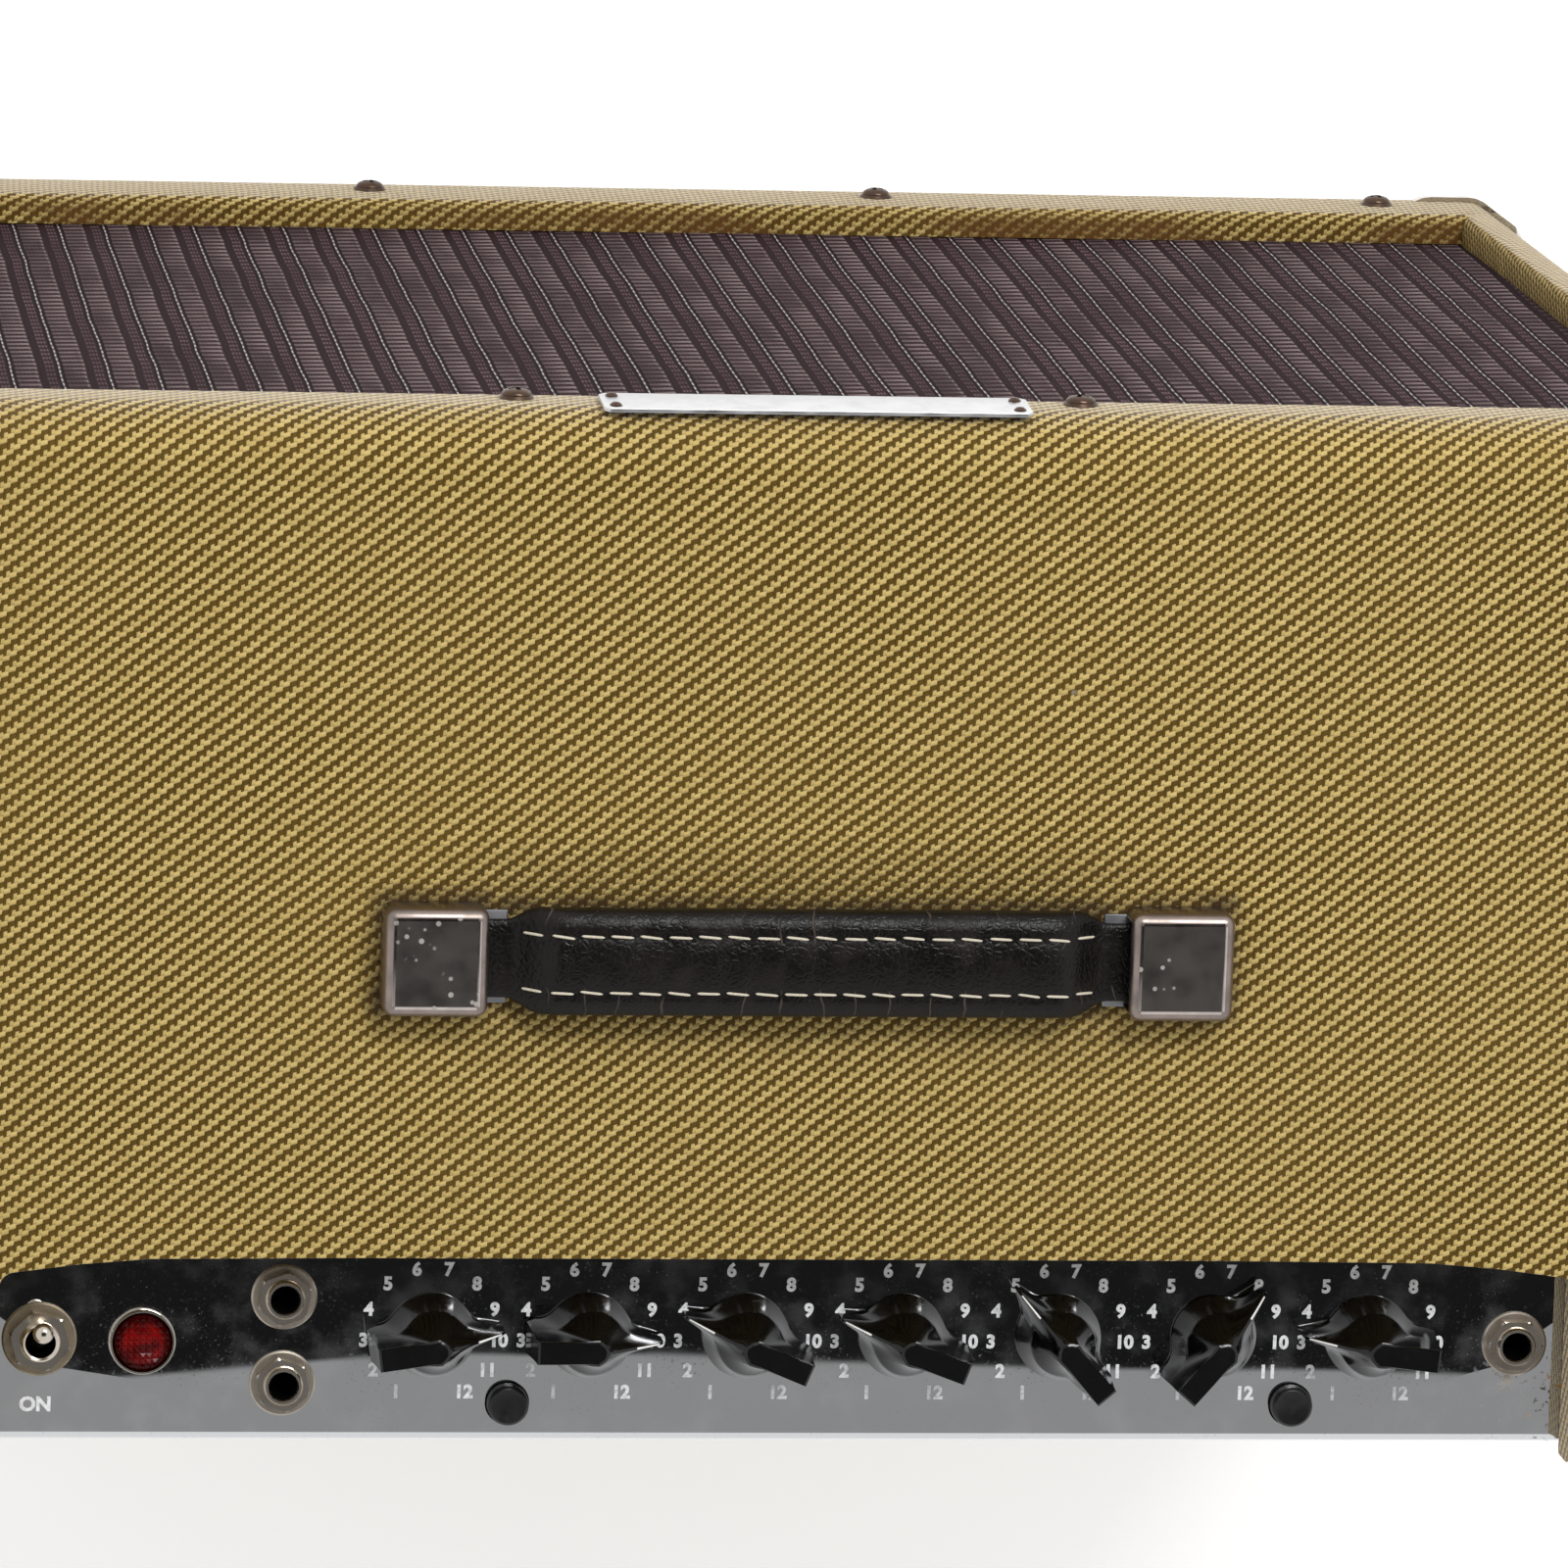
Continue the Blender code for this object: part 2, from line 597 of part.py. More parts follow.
def make_corner(name, x_sign, y_sign):
    # bent plate round the lower edge, drawn as an XZ outline and turned upright
    inner = EDGE_RADIUS + GAP
    outer = inner + CORNER_THICKNESS
    bend = (HALF_WIDTH - EDGE_RADIUS, FLOOR_Z + EDGE_RADIUS)
    top = FLOOR_Z + CORNER_SIDE_LEG
    foot = HALF_WIDTH - CORNER_BOTTOM_LEG
    outline = [(foot, bend[1] - outer)] + arc(bend, outer, -90, 0, 4) + [(bend[0] + outer, top)]
    outline += [(bend[0] + inner, top)] + arc(bend, inner, 0, -90, 4) + [(foot, bend[1] - inner)]
    outline = [(x * x_sign, z) for x, z in outline]
    mesh = outline_mesh(name, outline, -CORNER_DEPTH / 2, CORNER_DEPTH / 2)
    turn_mesh(mesh, Matrix.Rotation(math.radians(90), 4, "X"))
    part = add_part(name, mesh, NICKEL)
    part.location = (0, y_sign * (REAR_Y - EDGE_RADIUS / 2 - CORNER_DEPTH / 2), 0)


def make_name_plate():
    half = PLATE_WIDTH / 2
    high = PLATE_HEIGHT / 2
    nick = PLATE_CORNER
    outline = [(-half + nick, -high), (half - nick, -high), (half, -high + nick), (half, high - nick),
               (half - nick, high), (-half + nick, high), (-half, high - nick), (-half, -high + nick)]
    mesh = outline_mesh("name_plate", outline, 0.0, PLATE_THICKNESS)
    plate = add_part("name_plate", mesh, BRIGHT_PLATE)
    lean = math.radians(PLATE_TILT_DEG)
    above = PLATE_DROP - TOP_FRONT_RADIUS
    arc_y = FRONT_Y + TOP_FRONT_RADIUS * (1 - math.cos(lean))
    arc_z = TOP_Z - TOP_FRONT_RADIUS * (1 - math.sin(lean))
    run = arc_z - (TOP_Z - TOP_FRONT_RADIUS) + above
    plate.location = (0, arc_y - run * math.tan(lean) - GAP, arc_z - run)
    plate.rotation_euler = (math.radians(90) - lean, 0, 0)


def make_handle():
    for side, sign in (("left", -1), ("right", 1)):
        base = TOP_Z + GAP
        inner = CAP_CENTRE_X - CAP_LENGTH / 2
        outer = CAP_CENTRE_X + CAP_LENGTH / 2
        ends = sorted((sign * inner, sign * outer))
        low = (ends[0], HANDLE_Y - CAP_WIDTH / 2, base)
        high = (ends[1], HANDLE_Y + CAP_WIDTH / 2, base + CAP_HEIGHT)
        cap = add_part(f"handle_cap_{side}", box_mesh("cap", low, high), NICKEL)
        bevel(cap, CAP_BEVEL, 2)
        pocket_ends = sorted((sign * (inner - CAP_WALL), sign * (outer - CAP_WALL)))
        pocket_width = CAP_WIDTH - 2 * CAP_WALL
        cut(cap, box_mesh("pocket", (pocket_ends[0], HANDLE_Y - pocket_width / 2, base - CAP_WALL),
                          (pocket_ends[1], HANDLE_Y + pocket_width / 2, base + CAP_HEIGHT - CAP_WALL)))
        tongue_ends = sorted((sign * (GRIP_HALF_LENGTH + GAP), sign * (inner + TONGUE_REACH)))
        foot = TOP_Z + GRIP_LIFT
        tongue = box_mesh("tongue", (tongue_ends[0], HANDLE_Y - TONGUE_WIDTH / 2, foot),
                          (tongue_ends[1], HANDLE_Y + TONGUE_WIDTH / 2, foot + TONGUE_THICKNESS))
        add_part(f"handle_tongue_{side}", tongue, LEATHER)
    grip = add_part("handle_grip", loft_mesh("handle_grip", grip_rings()), LEATHER)
    grip.location = (0, HANDLE_Y, TOP_Z + GRIP_LIFT)


def grip_section(width, height):
    half = width / 2
    groove = height * 0.84 - STITCH_GROOVE
    right = [(half * 0.84, height * 0.05), (half, height * 0.34), (half * 0.95, height * 0.64),
             (STITCH_ROW * 1.24, height * 0.84), (STITCH_ROW, groove), (STITCH_ROW * 0.78, height * 0.90)]
    right = [(min(y, half), z) for y, z in right]
    left = [(-y, z) for y, z in reversed(right)]
    return [(0.0, 0.0)] + right + [(0.0, height)] + left


def grip_rings():
    rings = []
    taper_start = GRIP_HALF_LENGTH - GRIP_END_TAPER
    stations = [(GRIP_HALF_LENGTH, 0.80, 0.55), (GRIP_HALF_LENGTH - GRIP_END_TAPER / 3, 0.92, 0.82),
                (taper_start, 1.0, 0.97), (GRIP_HALF_LENGTH / 3, 1.0, 1.0)]
    run = [(-x, w, h) for x, w, h in stations] + [(x, w, h) for x, w, h in reversed(stations)]
    for x, width, height in run:
        section = grip_section(GRIP_WIDTH * width, GRIP_HEIGHT * height)
        rings.append([(x, y, z) for y, z in section])
    return rings


def knob_rings():
    # plan section at each level: a round skirt with the pointer bar standing out of it
    half = KNOB_RIDGE_WIDTH / 2
    beak_level = KNOB_BEAK_HEIGHT / KNOB_HEIGHT
    rings = []
    for level in (0.0, 0.14, beak_level, 0.68, 0.88, 1.0):
        skirt = KNOB_WAIST_RADIUS + (KNOB_BASE_RADIUS - KNOB_WAIST_RADIUS) * (1 - level) ** 2
        if level > beak_level:
            skirt *= 1.0 - 0.62 * (level - beak_level) / (1 - beak_level)
        beak = KNOB_BEAK
        if level > beak_level:
            beak -= (KNOB_BEAK - half) * (level - beak_level) / (1 - beak_level)
        beak = beak if level > 0.1 else KNOB_BASE_RADIUS + (KNOB_BEAK - KNOB_BASE_RADIUS) * 0.35
        tail = KNOB_TAIL if level > 0.1 else KNOB_BASE_RADIUS + (KNOB_TAIL - KNOB_BASE_RADIUS) * 0.55
        rings.append(knob_ring(skirt, beak, tail, half, level * KNOB_HEIGHT))
    return rings


def knob_ring(skirt, beak, tail, half, height):
    # beak points along -Y; the right-hand side is drawn and mirrored
    shoulder = skirt * math.sin(math.radians(50))
    right = [(half * 0.12, -beak), (half, -shoulder - (beak - shoulder) * 0.3)]
    for angle_deg in (-50, -20, 10, 40):
        angle = math.radians(angle_deg)
        right.append((max(skirt * math.cos(angle), half), skirt * math.sin(angle)))
    shoulder = skirt * math.sin(math.radians(40))
    right += [(half, shoulder + (tail - shoulder) * 0.3), (half, tail)]
    left = [(-x, y) for x, y in reversed(right)]
    return [(x, y, height) for x, y in right + left]


def make_knobs():
    for index, (name, rest_deg) in enumerate(zip(KNOB_NAMES, KNOB_REST_DEG)):
        knob = add_part(f"{name}_knob", loft_mesh("knob", knob_rings()), BLACK_PLASTIC)
        unite(knob, rod_mesh("shaft", SHAFT_RADIUS, (0, 0, -SHAFT_LENGTH), SHAFT_LENGTH + KNOB_HEIGHT / 4,
                             (0, 0, 1), 12))
        axis = bpy.data.objects.new(f"{name}_knob_axis", None)
        parts.objects.link(axis)
        axis.location = (FIRST_KNOB_X - index * KNOB_PITCH, KNOB_Y, PANEL_Z + KNOB_LIFT)
        axis.rotation_euler = (0, 0, math.radians(-rest_deg))
        knob.parent = axis
        join = bpy.data.objects[f"{name}_knob_join"]
        join.parent = axis


def make_jack(name, place, direction):
    # barrel with washer and nut outside the sheet and a moulded body behind it
    washer_foot = GAP
    nut_foot = washer_foot + JACK_WASHER_HEIGHT / 2
    nut_top = washer_foot + JACK_WASHER_HEIGHT + JACK_NUT_HEIGHT
    half = JACK_BODY_WIDTH / 2
    sheet_back = -SHEET_THICKNESS - GAP
    body = box_mesh(name, (-half, -half, sheet_back - JACK_BODY_DEPTH), (half, half, sheet_back))
    barrel = rod_mesh("barrel", JACK_BARREL_RADIUS, (0, 0, sheet_back - JACK_BODY_DEPTH / 2),
                      JACK_BODY_DEPTH / 2 - sheet_back + JACK_BARREL_HEIGHT)
    washer = rod_mesh("washer", JACK_WASHER_RADIUS, (0, 0, washer_foot), JACK_WASHER_HEIGHT, (0, 0, 1), 24)
    nut = outline_mesh("nut", hexagon(JACK_NUT_FLATS), nut_foot, nut_top)
    bore_end = JACK_BARREL_HEIGHT - JACK_BORE_DEPTH
    bore = rod_mesh("bore", JACK_BORE_RADIUS, (0, 0, bore_end), 2 * JACK_BORE_DEPTH)
    jack = add_part(name, body, NICKEL)
    for piece in (barrel, washer, nut):
        unite(jack, piece)
    cut(jack, bore)
    set_down(jack, place, direction)


def set_down(part, place, direction):
    # a piece and its cutters stand on the sheet they are fitted to
    turn = Vector((0, 0, 1)).rotation_difference(Vector(direction)).to_euler()
    part.location = place
    part.rotation_euler = turn
    for cutter in cutters.objects:
        if cutter.name.startswith((part.name + "_cutter", part.name + "_join")):
            cutter.location = place
            cutter.rotation_euler = turn


def rear_jack_place(x):
    return (x, PANEL_REAR, PANEL_Z - REAR_JACK_DROP)


def make_jacks():
    make_jack("input_jack", (INPUT_JACK_X, REAR_Y - INPUT_JACK_INSET, PANEL_Z), (0, 0, 1))
    make_jack("effects_send_jack", (EFFECTS_JACK_X, REAR_Y - EFFECTS_SEND_INSET, PANEL_Z), (0, 0, 1))
    make_jack("effects_return_jack", (EFFECTS_JACK_X, REAR_Y - EFFECTS_RETURN_INSET, PANEL_Z), (0, 0, 1))
    make_jack("speaker_jack", rear_jack_place(SPEAKER_JACK_X), (0, 1, 0))
    make_jack("footswitch_jack", rear_jack_place(FOOTSWITCH_JACK_X), (0, 1, 0))


def make_power_switch():
    place = (SWITCH_X, REAR_Y - SWITCH_INSET, PANEL_Z)
    half = SWITCH_BODY_WIDTH / 2
    sheet_back = -SHEET_THICKNESS - GAP
    nut_top = GAP + SWITCH_WASHER_HEIGHT + SWITCH_NUT_HEIGHT
    body = box_mesh("switch", (-half, -half, sheet_back - SWITCH_BODY_DEPTH), (half, half, sheet_back))
    switch = add_part("power_switch_body", body, NICKEL)
    unite(switch, rod_mesh("bush", SWITCH_BUSH_RADIUS, (0, 0, sheet_back - SWITCH_BODY_DEPTH / 2),
                           SWITCH_BODY_DEPTH / 2 - sheet_back + SWITCH_BUSH_HEIGHT))
    unite(switch, rod_mesh("washer", SWITCH_WASHER_RADIUS, (0, 0, GAP), SWITCH_WASHER_HEIGHT, (0, 0, 1), 24))
    unite(switch, outline_mesh("nut", hexagon(SWITCH_NUT_FLATS), GAP + SWITCH_WASHER_HEIGHT / 2, nut_top))
    bore_foot = LEVER_PIVOT_HEIGHT - LEVER_TAIL - SWITCH_BORE_RADIUS / 2
    cut(switch, rod_mesh("bore", SWITCH_BORE_RADIUS, (0, 0, bore_foot), 2 * SWITCH_BUSH_HEIGHT - bore_foot))
    set_down(switch, place, (0, 0, 1))
    ball = arc((0, LEVER_LENGTH - LEVER_BALL_RADIUS), LEVER_BALL_RADIUS, 90, -50, 6)
    profile = [(0.0, LEVER_LENGTH)] + ball[1:] + [(LEVER_NECK_RADIUS, LEVER_LENGTH / 2)]
    profile += [(LEVER_BASE_RADIUS, 0.0), (LEVER_BASE_RADIUS, -LEVER_TAIL), (0.0, -LEVER_TAIL)]
    lever = turned_part("power_switch_lever", profile, NICKEL, 16)
    lever.location = (place[0], place[1], PANEL_Z + LEVER_PIVOT_HEIGHT)
    lever.rotation_euler = (math.radians(SWITCH_TILT_DEG), 0, 0)


def make_pilot():
    place = (PILOT_X, REAR_Y - PILOT_INSET, PANEL_Z)
    stem_hole = PILOT_STEM_RADIUS + GAP
    seat_hole = PILOT_LENS_RADIUS + GAP
    rim = (PILOT_BEZEL_RADIUS + seat_hole) / 2
    bezel = turned_part("pilot_bezel", [(seat_hole, PILOT_BEZEL_HEIGHT * 0.9), (rim, PILOT_BEZEL_HEIGHT),
                                        (PILOT_BEZEL_RADIUS, PILOT_BEZEL_HEIGHT * 0.6),
                                        (PILOT_BEZEL_RADIUS, GAP), (PILOT_NECK_RADIUS, GAP),
                                        (PILOT_NECK_RADIUS, -PILOT_NECK_LENGTH),
                                        (stem_hole, -PILOT_NECK_LENGTH), (stem_hole, PILOT_SEAT),
                                        (seat_hole, PILOT_SEAT)], CHROME, 28)
    bezel.location = place
    crown = PILOT_SEAT + GAP
    lens = turned_part("pilot_lens", [(0.0, crown + PILOT_DOME),
                                      (PILOT_LENS_RADIUS * 0.6, crown + PILOT_DOME * 0.86),
                                      (PILOT_LENS_RADIUS * 0.92, crown + PILOT_DOME * 0.5),
                                      (PILOT_LENS_RADIUS, crown), (PILOT_STEM_RADIUS, crown),
                                      (PILOT_STEM_RADIUS, -PILOT_NECK_LENGTH), (0.0, -PILOT_NECK_LENGTH)],
                       RED_LENS, 24)
    lens.location = place


def make_buttons():
    for name, x in (("boost_button", BOOST_X), ("channel_button", CHANNEL_X)):
        button = add_part(name, rod_mesh(name, BUTTON_RADIUS, (0, 0, -BUTTON_DEPTH),
                                         BUTTON_DEPTH + BUTTON_PROUD), BLACK_PLASTIC)
        bevel(button, BUTTON_BEVEL, 2)
        button.location = (x, REAR_Y - BUTTON_INSET, PANEL_Z)


def panel_holes():
    above = PANEL_Z + SHEET_THICKNESS
    depth = 3 * SHEET_THICKNESS
    spots = [(FIRST_KNOB_X - index * KNOB_PITCH, KNOB_INSET, SHAFT_RADIUS + RUN_CLEARANCE)
             for index in range(len(KNOB_NAMES))]
    spots += [(INPUT_JACK_X, INPUT_JACK_INSET, JACK_BARREL_RADIUS + RUN_CLEARANCE),
              (EFFECTS_JACK_X, EFFECTS_SEND_INSET, JACK_BARREL_RADIUS + RUN_CLEARANCE),
              (EFFECTS_JACK_X, EFFECTS_RETURN_INSET, JACK_BARREL_RADIUS + RUN_CLEARANCE),
              (SWITCH_X, SWITCH_INSET, SWITCH_BUSH_RADIUS + RUN_CLEARANCE),
              (PILOT_X, PILOT_INSET, PILOT_NECK_RADIUS + RUN_CLEARANCE),
              (BOOST_X, BUTTON_INSET, BUTTON_RADIUS + RUN_CLEARANCE),
              (CHANNEL_X, BUTTON_INSET, BUTTON_RADIUS + RUN_CLEARANCE)]
    holes = [rod_mesh("hole", radius, (x, REAR_Y - inset, above), depth, (0, 0, -1), 18)
             for x, inset, radius in spots]
    for x in (SPEAKER_JACK_X, FOOTSWITCH_JACK_X):
        place = (x, PANEL_REAR + SHEET_THICKNESS, PANEL_Z - REAR_JACK_DROP)
        holes.append(rod_mesh("hole", JACK_BARREL_RADIUS + RUN_CLEARANCE, place, depth, (0, -1, 0), 18))
    half_w = INLET_BODY_WIDTH / 2 + GAP
    half_h = INLET_BODY_HEIGHT / 2 + GAP
    z = PANEL_Z - REAR_JACK_DROP
    holes.append(box_mesh("hole", (INLET_X - half_w, PANEL_REAR - depth, z - half_h),
                          (INLET_X + half_w, PANEL_REAR + SHEET_THICKNESS, z + half_h)))
    return join_meshes("panel_holes", holes)


def make_panel_and_chassis():
    profile = [(PANEL_FRONT, PANEL_Z), (PANEL_REAR, PANEL_Z), (PANEL_REAR, FLANGE_BOTTOM),
               (PANEL_REAR - SHEET_THICKNESS, FLANGE_BOTTOM),
               (PANEL_REAR - SHEET_THICKNESS, PANEL_UNDERSIDE), (PANEL_FRONT, PANEL_UNDERSIDE)]
    mesh = outline_mesh("control_panel", profile, -INNER_HALF, INNER_HALF)
    turn_mesh(mesh, Matrix(((0, 0, 1, 0), (1, 0, 0, 0), (0, 1, 0, 0), (0, 0, 0, 1))))
    panel = add_part("control_panel", mesh, CHROME)
    cut(panel, panel_holes())
    top = PANEL_UNDERSIDE - GAP
    low = (-TRAY_HALF_WIDTH, TRAY_FRONT, FLANGE_BOTTOM)
    tray = add_part("chassis", box_mesh("chassis", low, (TRAY_HALF_WIDTH, TRAY_REAR, top)), STEEL)
    wall = SHEET_THICKNESS
    cut(tray, box_mesh("inside", (low[0] + wall, low[1] + wall, low[2] + wall),
                       (TRAY_HALF_WIDTH - wall, TRAY_REAR + wall, top + wall)))


def make_control_board():
    rear = TRAY_REAR - CONTROL_BOARD_REAR_GAP
    low = (-CONTROL_BOARD_HALF_WIDTH, rear - CONTROL_BOARD_DEPTH, BOARD_TOP - BOARD_SHEET)
    high = (CONTROL_BOARD_HALF_WIDTH, rear, BOARD_TOP)
    board = add_part("control_board", box_mesh("control_board", low, high), CIRCUIT)
    sink = BOARD_SHEET / 2
    for index in range(len(KNOB_NAMES)):
        x = FIRST_KNOB_X - index * KNOB_PITCH
        unite(board, rod_mesh("pot", POT_RADIUS, (x, KNOB_Y, BOARD_TOP - sink), POT_HEIGHT + sink,
                              (0, 0, 1), 12))
        bush_foot = BOARD_TOP + POT_HEIGHT / 2
        unite(board, rod_mesh("bush", POT_BUSH_RADIUS, (x, KNOB_Y, bush_foot),
                              PANEL_UNDERSIDE - GAP - bush_foot, (0, 0, 1), 12))
    block_top = PANEL_Z - BUTTON_DEPTH - BUTTON_TRAVEL - GAP
    half = SWITCH_BLOCK / 2
    for x in (BOOST_X, CHANNEL_X):
        y = REAR_Y - BUTTON_INSET
        block = (x - half, y - half, BOARD_TOP - sink), (x + half, y + half - 2 * GAP, block_top)
        unite(board, box_mesh("switch_block", *block))
    bores = [rod_mesh("bore", SHAFT_RADIUS + RUN_CLEARANCE,
                      (FIRST_KNOB_X - index * KNOB_PITCH, KNOB_Y,
                       PANEL_Z + KNOB_LIFT - SHAFT_LENGTH - 2 * GAP), SHAFT_LENGTH, (0, 0, 1), 12)
             for index in range(len(KNOB_NAMES))]
    cut(board, join_meshes("bores", bores))


def make_tube_board():
    half = TUBE_BOARD_DEPTH / 2
    low = (-TUBE_BOARD_HALF_WIDTH, TUBE_Y - half, TUBE_BOARD_BOTTOM)
    high = (TUBE_BOARD_HALF_WIDTH, TUBE_Y + half, TUBE_BOARD_TOP)
    board = add_part("tube_board", box_mesh("tube_board", low, high), CIRCUIT)
    socket_bottom = TUBE_BOARD_BOTTOM - TUBE_SOCKET_HEIGHT
    for index in range(TUBE_COUNT):
        x = (index - (TUBE_COUNT - 1) / 2) * TUBE_PITCH
        unite(board, rod_mesh("socket", TUBE_SOCKET_RADIUS, (x, TUBE_Y, socket_bottom),
                              TUBE_SOCKET_HEIGHT + BOARD_SHEET / 2, (0, 0, 1), 16))
        power = index >= PREAMP_TUBE_COUNT
        number = index - PREAMP_TUBE_COUNT + 1 if power else index + 1
        name = f"power_tube_{number}" if power else f"preamp_tube_{number}"
        length = POWER_TUBE_LENGTH if power else PREAMP_TUBE_LENGTH
        make_tube(name, length, (x, TUBE_Y, socket_bottom - GAP))


def make_tube(name, length, place):
    shoulder = length - TUBE_TIP_LENGTH - TUBE_RADIUS * 0.5
    profile = [(0.0, 0.0), (TUBE_RADIUS, 0.0), (TUBE_RADIUS, -shoulder),
               (TUBE_RADIUS * 0.75, -(shoulder + TUBE_RADIUS * 0.4)),
               (TUBE_TIP_RADIUS, -(length - TUBE_TIP_LENGTH)), (0.0, -length)]
    tube = turned_part(name, profile, GLASS, 16)
    tube.location = place


def make_transformer(name, x, size):
    # laminated core with the winding standing out on both sides
    core_x, core_y, core_z = size
    top = FLANGE_BOTTOM - GAP
    half = core_x / 2
    stack = core_y * CORE_STACK_SHARE / 2
    low = (x - half, TUBE_Y - stack, top - core_z)
    part = add_part(name, box_mesh(name, low, (x + half, TUBE_Y + stack, top)), BLACK_PAINT)
    winding_half = half * CORE_STACK_SHARE
    margin = core_z / 6
    unite(part, box_mesh("winding", (x - winding_half, TUBE_Y - core_y / 2, top - core_z + margin),
                         (x + winding_half, TUBE_Y + core_y / 2, top - margin)))
    bevel(part, TRANSFORMER_BEVEL, 1)


def make_speaker():
    seat = BAFFLE_REAR + GAP
    opening = SPEAKER_RADIUS - SPEAKER_FLANGE_WIDTH
    face = Matrix.Translation((0, seat, SPEAKER_Z)) @ Matrix.Rotation(math.radians(-90), 4, "X")
    wall = BASKET_THICKNESS
    coil_hole = COIL_RADIUS + 2 * RUN_CLEARANCE
    frame = turned_part("speaker_frame", [(coil_hole, BASKET_DEPTH), (BASKET_SEAT_RADIUS, BASKET_DEPTH),
                                          (opening + wall, BASKET_WALL_DEPTH + wall / 2),
                                          (opening + wall, SPEAKER_FLANGE_THICKNESS),
                                          (SPEAKER_RADIUS, SPEAKER_FLANGE_THICKNESS), (SPEAKER_RADIUS, 0.0),
                                          (opening, 0.0), (opening, BASKET_WALL_DEPTH),
                                          (BASKET_SEAT_RADIUS - wall, BASKET_DEPTH - wall),
                                          (coil_hole, BASKET_DEPTH - wall)], STEEL, SPEAKER_STEPS)
    frame.matrix_world = face
    windows = []
    reach = opening - BASKET_SEAT_RADIUS
    for index in range(BASKET_WINDOWS):
        angle = 2 * math.pi * (index + 0.5) / BASKET_WINDOWS
        low = (BASKET_SEAT_RADIUS + reach * 0.14, -BASKET_WINDOW_WIDTH / 2, BASKET_DEPTH * 0.32)
        high = (opening + wall, BASKET_WINDOW_WIDTH / 2, BASKET_DEPTH * 0.84)
        mesh = box_mesh("window", low, high)
        windows.append(turn_mesh(mesh, Matrix.Rotation(angle, 4, "Z")))
    cut(frame, turn_mesh(join_meshes("windows", windows), face))
    make_cone(face, opening)
    near = BASKET_DEPTH + GAP
    far = near + MAGNET_HEIGHT
    pocket = BASKET_DEPTH + COIL_LENGTH
    profile = [(0.0, far), (MAGNET_RADIUS - MAGNET_BEVEL, far), (MAGNET_RADIUS, far - MAGNET_BEVEL),
               (MAGNET_RADIUS, near + MAGNET_BEVEL), (MAGNET_RADIUS - MAGNET_BEVEL, near),
               (coil_hole, near), (coil_hole, pocket), (0.0, pocket)]
    magnet = turned_part("speaker_magnet", profile, FERRITE, SPEAKER_STEPS)
    magnet.matrix_world = face


def make_cone(face, opening):
    # paper cone with a rolled edge, a domed dust cap and the coil former behind it
    rim = opening - CONE_RIM_CLEARANCE
    lip = CONE_TRAVEL + CONE_ROLL / 2
    neck = lip + CONE_DEPTH
    coil_end = BASKET_DEPTH + COIL_LENGTH - CONE_TRAVEL - RUN_CLEARANCE
    skin = CONE_THICKNESS
    cap = COIL_RADIUS * 1.15
    profile = [(0.0, coil_end), (COIL_RADIUS, coil_end), (COIL_RADIUS, neck + skin),
               (rim - 2 * CONE_ROLL, lip + skin), (rim - CONE_ROLL, lip - CONE_ROLL / 2 + skin),
               (rim, lip + skin),
               (rim, lip), (rim - CONE_ROLL, lip - CONE_ROLL / 2), (rim - 2 * CONE_ROLL, lip),
               (cap, neck - 2 * skin), (cap * 0.6, neck - DUST_CAP_RISE * 0.8), (0.0, neck - DUST_CAP_RISE)]
    cone = turned_part("speaker_cone", profile, PAPER_CONE, SPEAKER_STEPS)
    cone.matrix_world = face


def make_reverb_tank():
    # steel pan standing open side down on the cabinet's bottom board
    y = REAR_Y - TANK_INSET
    low = (-TANK_LENGTH / 2, y - TANK_DEPTH / 2, INNER_FLOOR)
    high = (TANK_LENGTH / 2, y + TANK_DEPTH / 2, INNER_FLOOR + TANK_HEIGHT)
    tank = add_part("reverb_tank", box_mesh("reverb_tank", low, high), STEEL)
    wall = TANK_WALL
    cut(tank, box_mesh("inside", (low[0] + wall, low[1] + wall, low[2] - wall),
                       (high[0] - wall, high[1] - wall, high[2] - wall)))


def make_inlet():
    z = PANEL_Z - REAR_JACK_DROP
    outside = PANEL_REAR + GAP
    half_w = INLET_PLATE_WIDTH / 2
    half_h = INLET_PLATE_HEIGHT / 2
    face = outside + INLET_PLATE_THICKNESS
    inlet = add_part("mains_inlet", box_mesh("mains_inlet", (INLET_X - half_w, outside, z - half_h),
                                             (INLET_X + half_w, face, z + half_h)), BLACK_PLASTIC)
    half_w = INLET_BODY_WIDTH / 2
    half_h = INLET_BODY_HEIGHT / 2
    unite(inlet, box_mesh("body", (INLET_X - half_w, face - INLET_BODY_DEPTH, z - half_h),
                          (INLET_X + half_w, face - INLET_PLATE_THICKNESS / 2, z + half_h)))
    half_w -= INLET_WALL
    half_h -= INLET_WALL
    cut(inlet, box_mesh("socket", (INLET_X - half_w, face - INLET_SOCKET_DEPTH, z - half_h),
                        (INLET_X + half_w, face + GAP, z + half_h)))


clear_scene()
parts = make_collection("guitar_amplifier", False)
cutters = make_collection("cutters", True)
make_cabinet()
make_front()
make_back_panels()
make_feet_and_corners()
make_name_plate()
make_handle()
make_panel_and_chassis()
make_control_board()
make_knobs()
make_jacks()
make_power_switch()
make_pilot()
make_buttons()
make_tube_board()
make_transformer("power_transformer", TRANSFORMER_X, POWER_CORE)
make_transformer("output_transformer", -TRANSFORMER_X, OUTPUT_CORE)
make_speaker()
make_reverb_tank()
make_inlet()
for part in parts.objects:
    if part.type == "MESH" and any(word in part.name for word in ROUND_PIECES):
        smooth(part)
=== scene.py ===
import json
import math
import bmesh
import bpy
from mathutils import Matrix, Vector


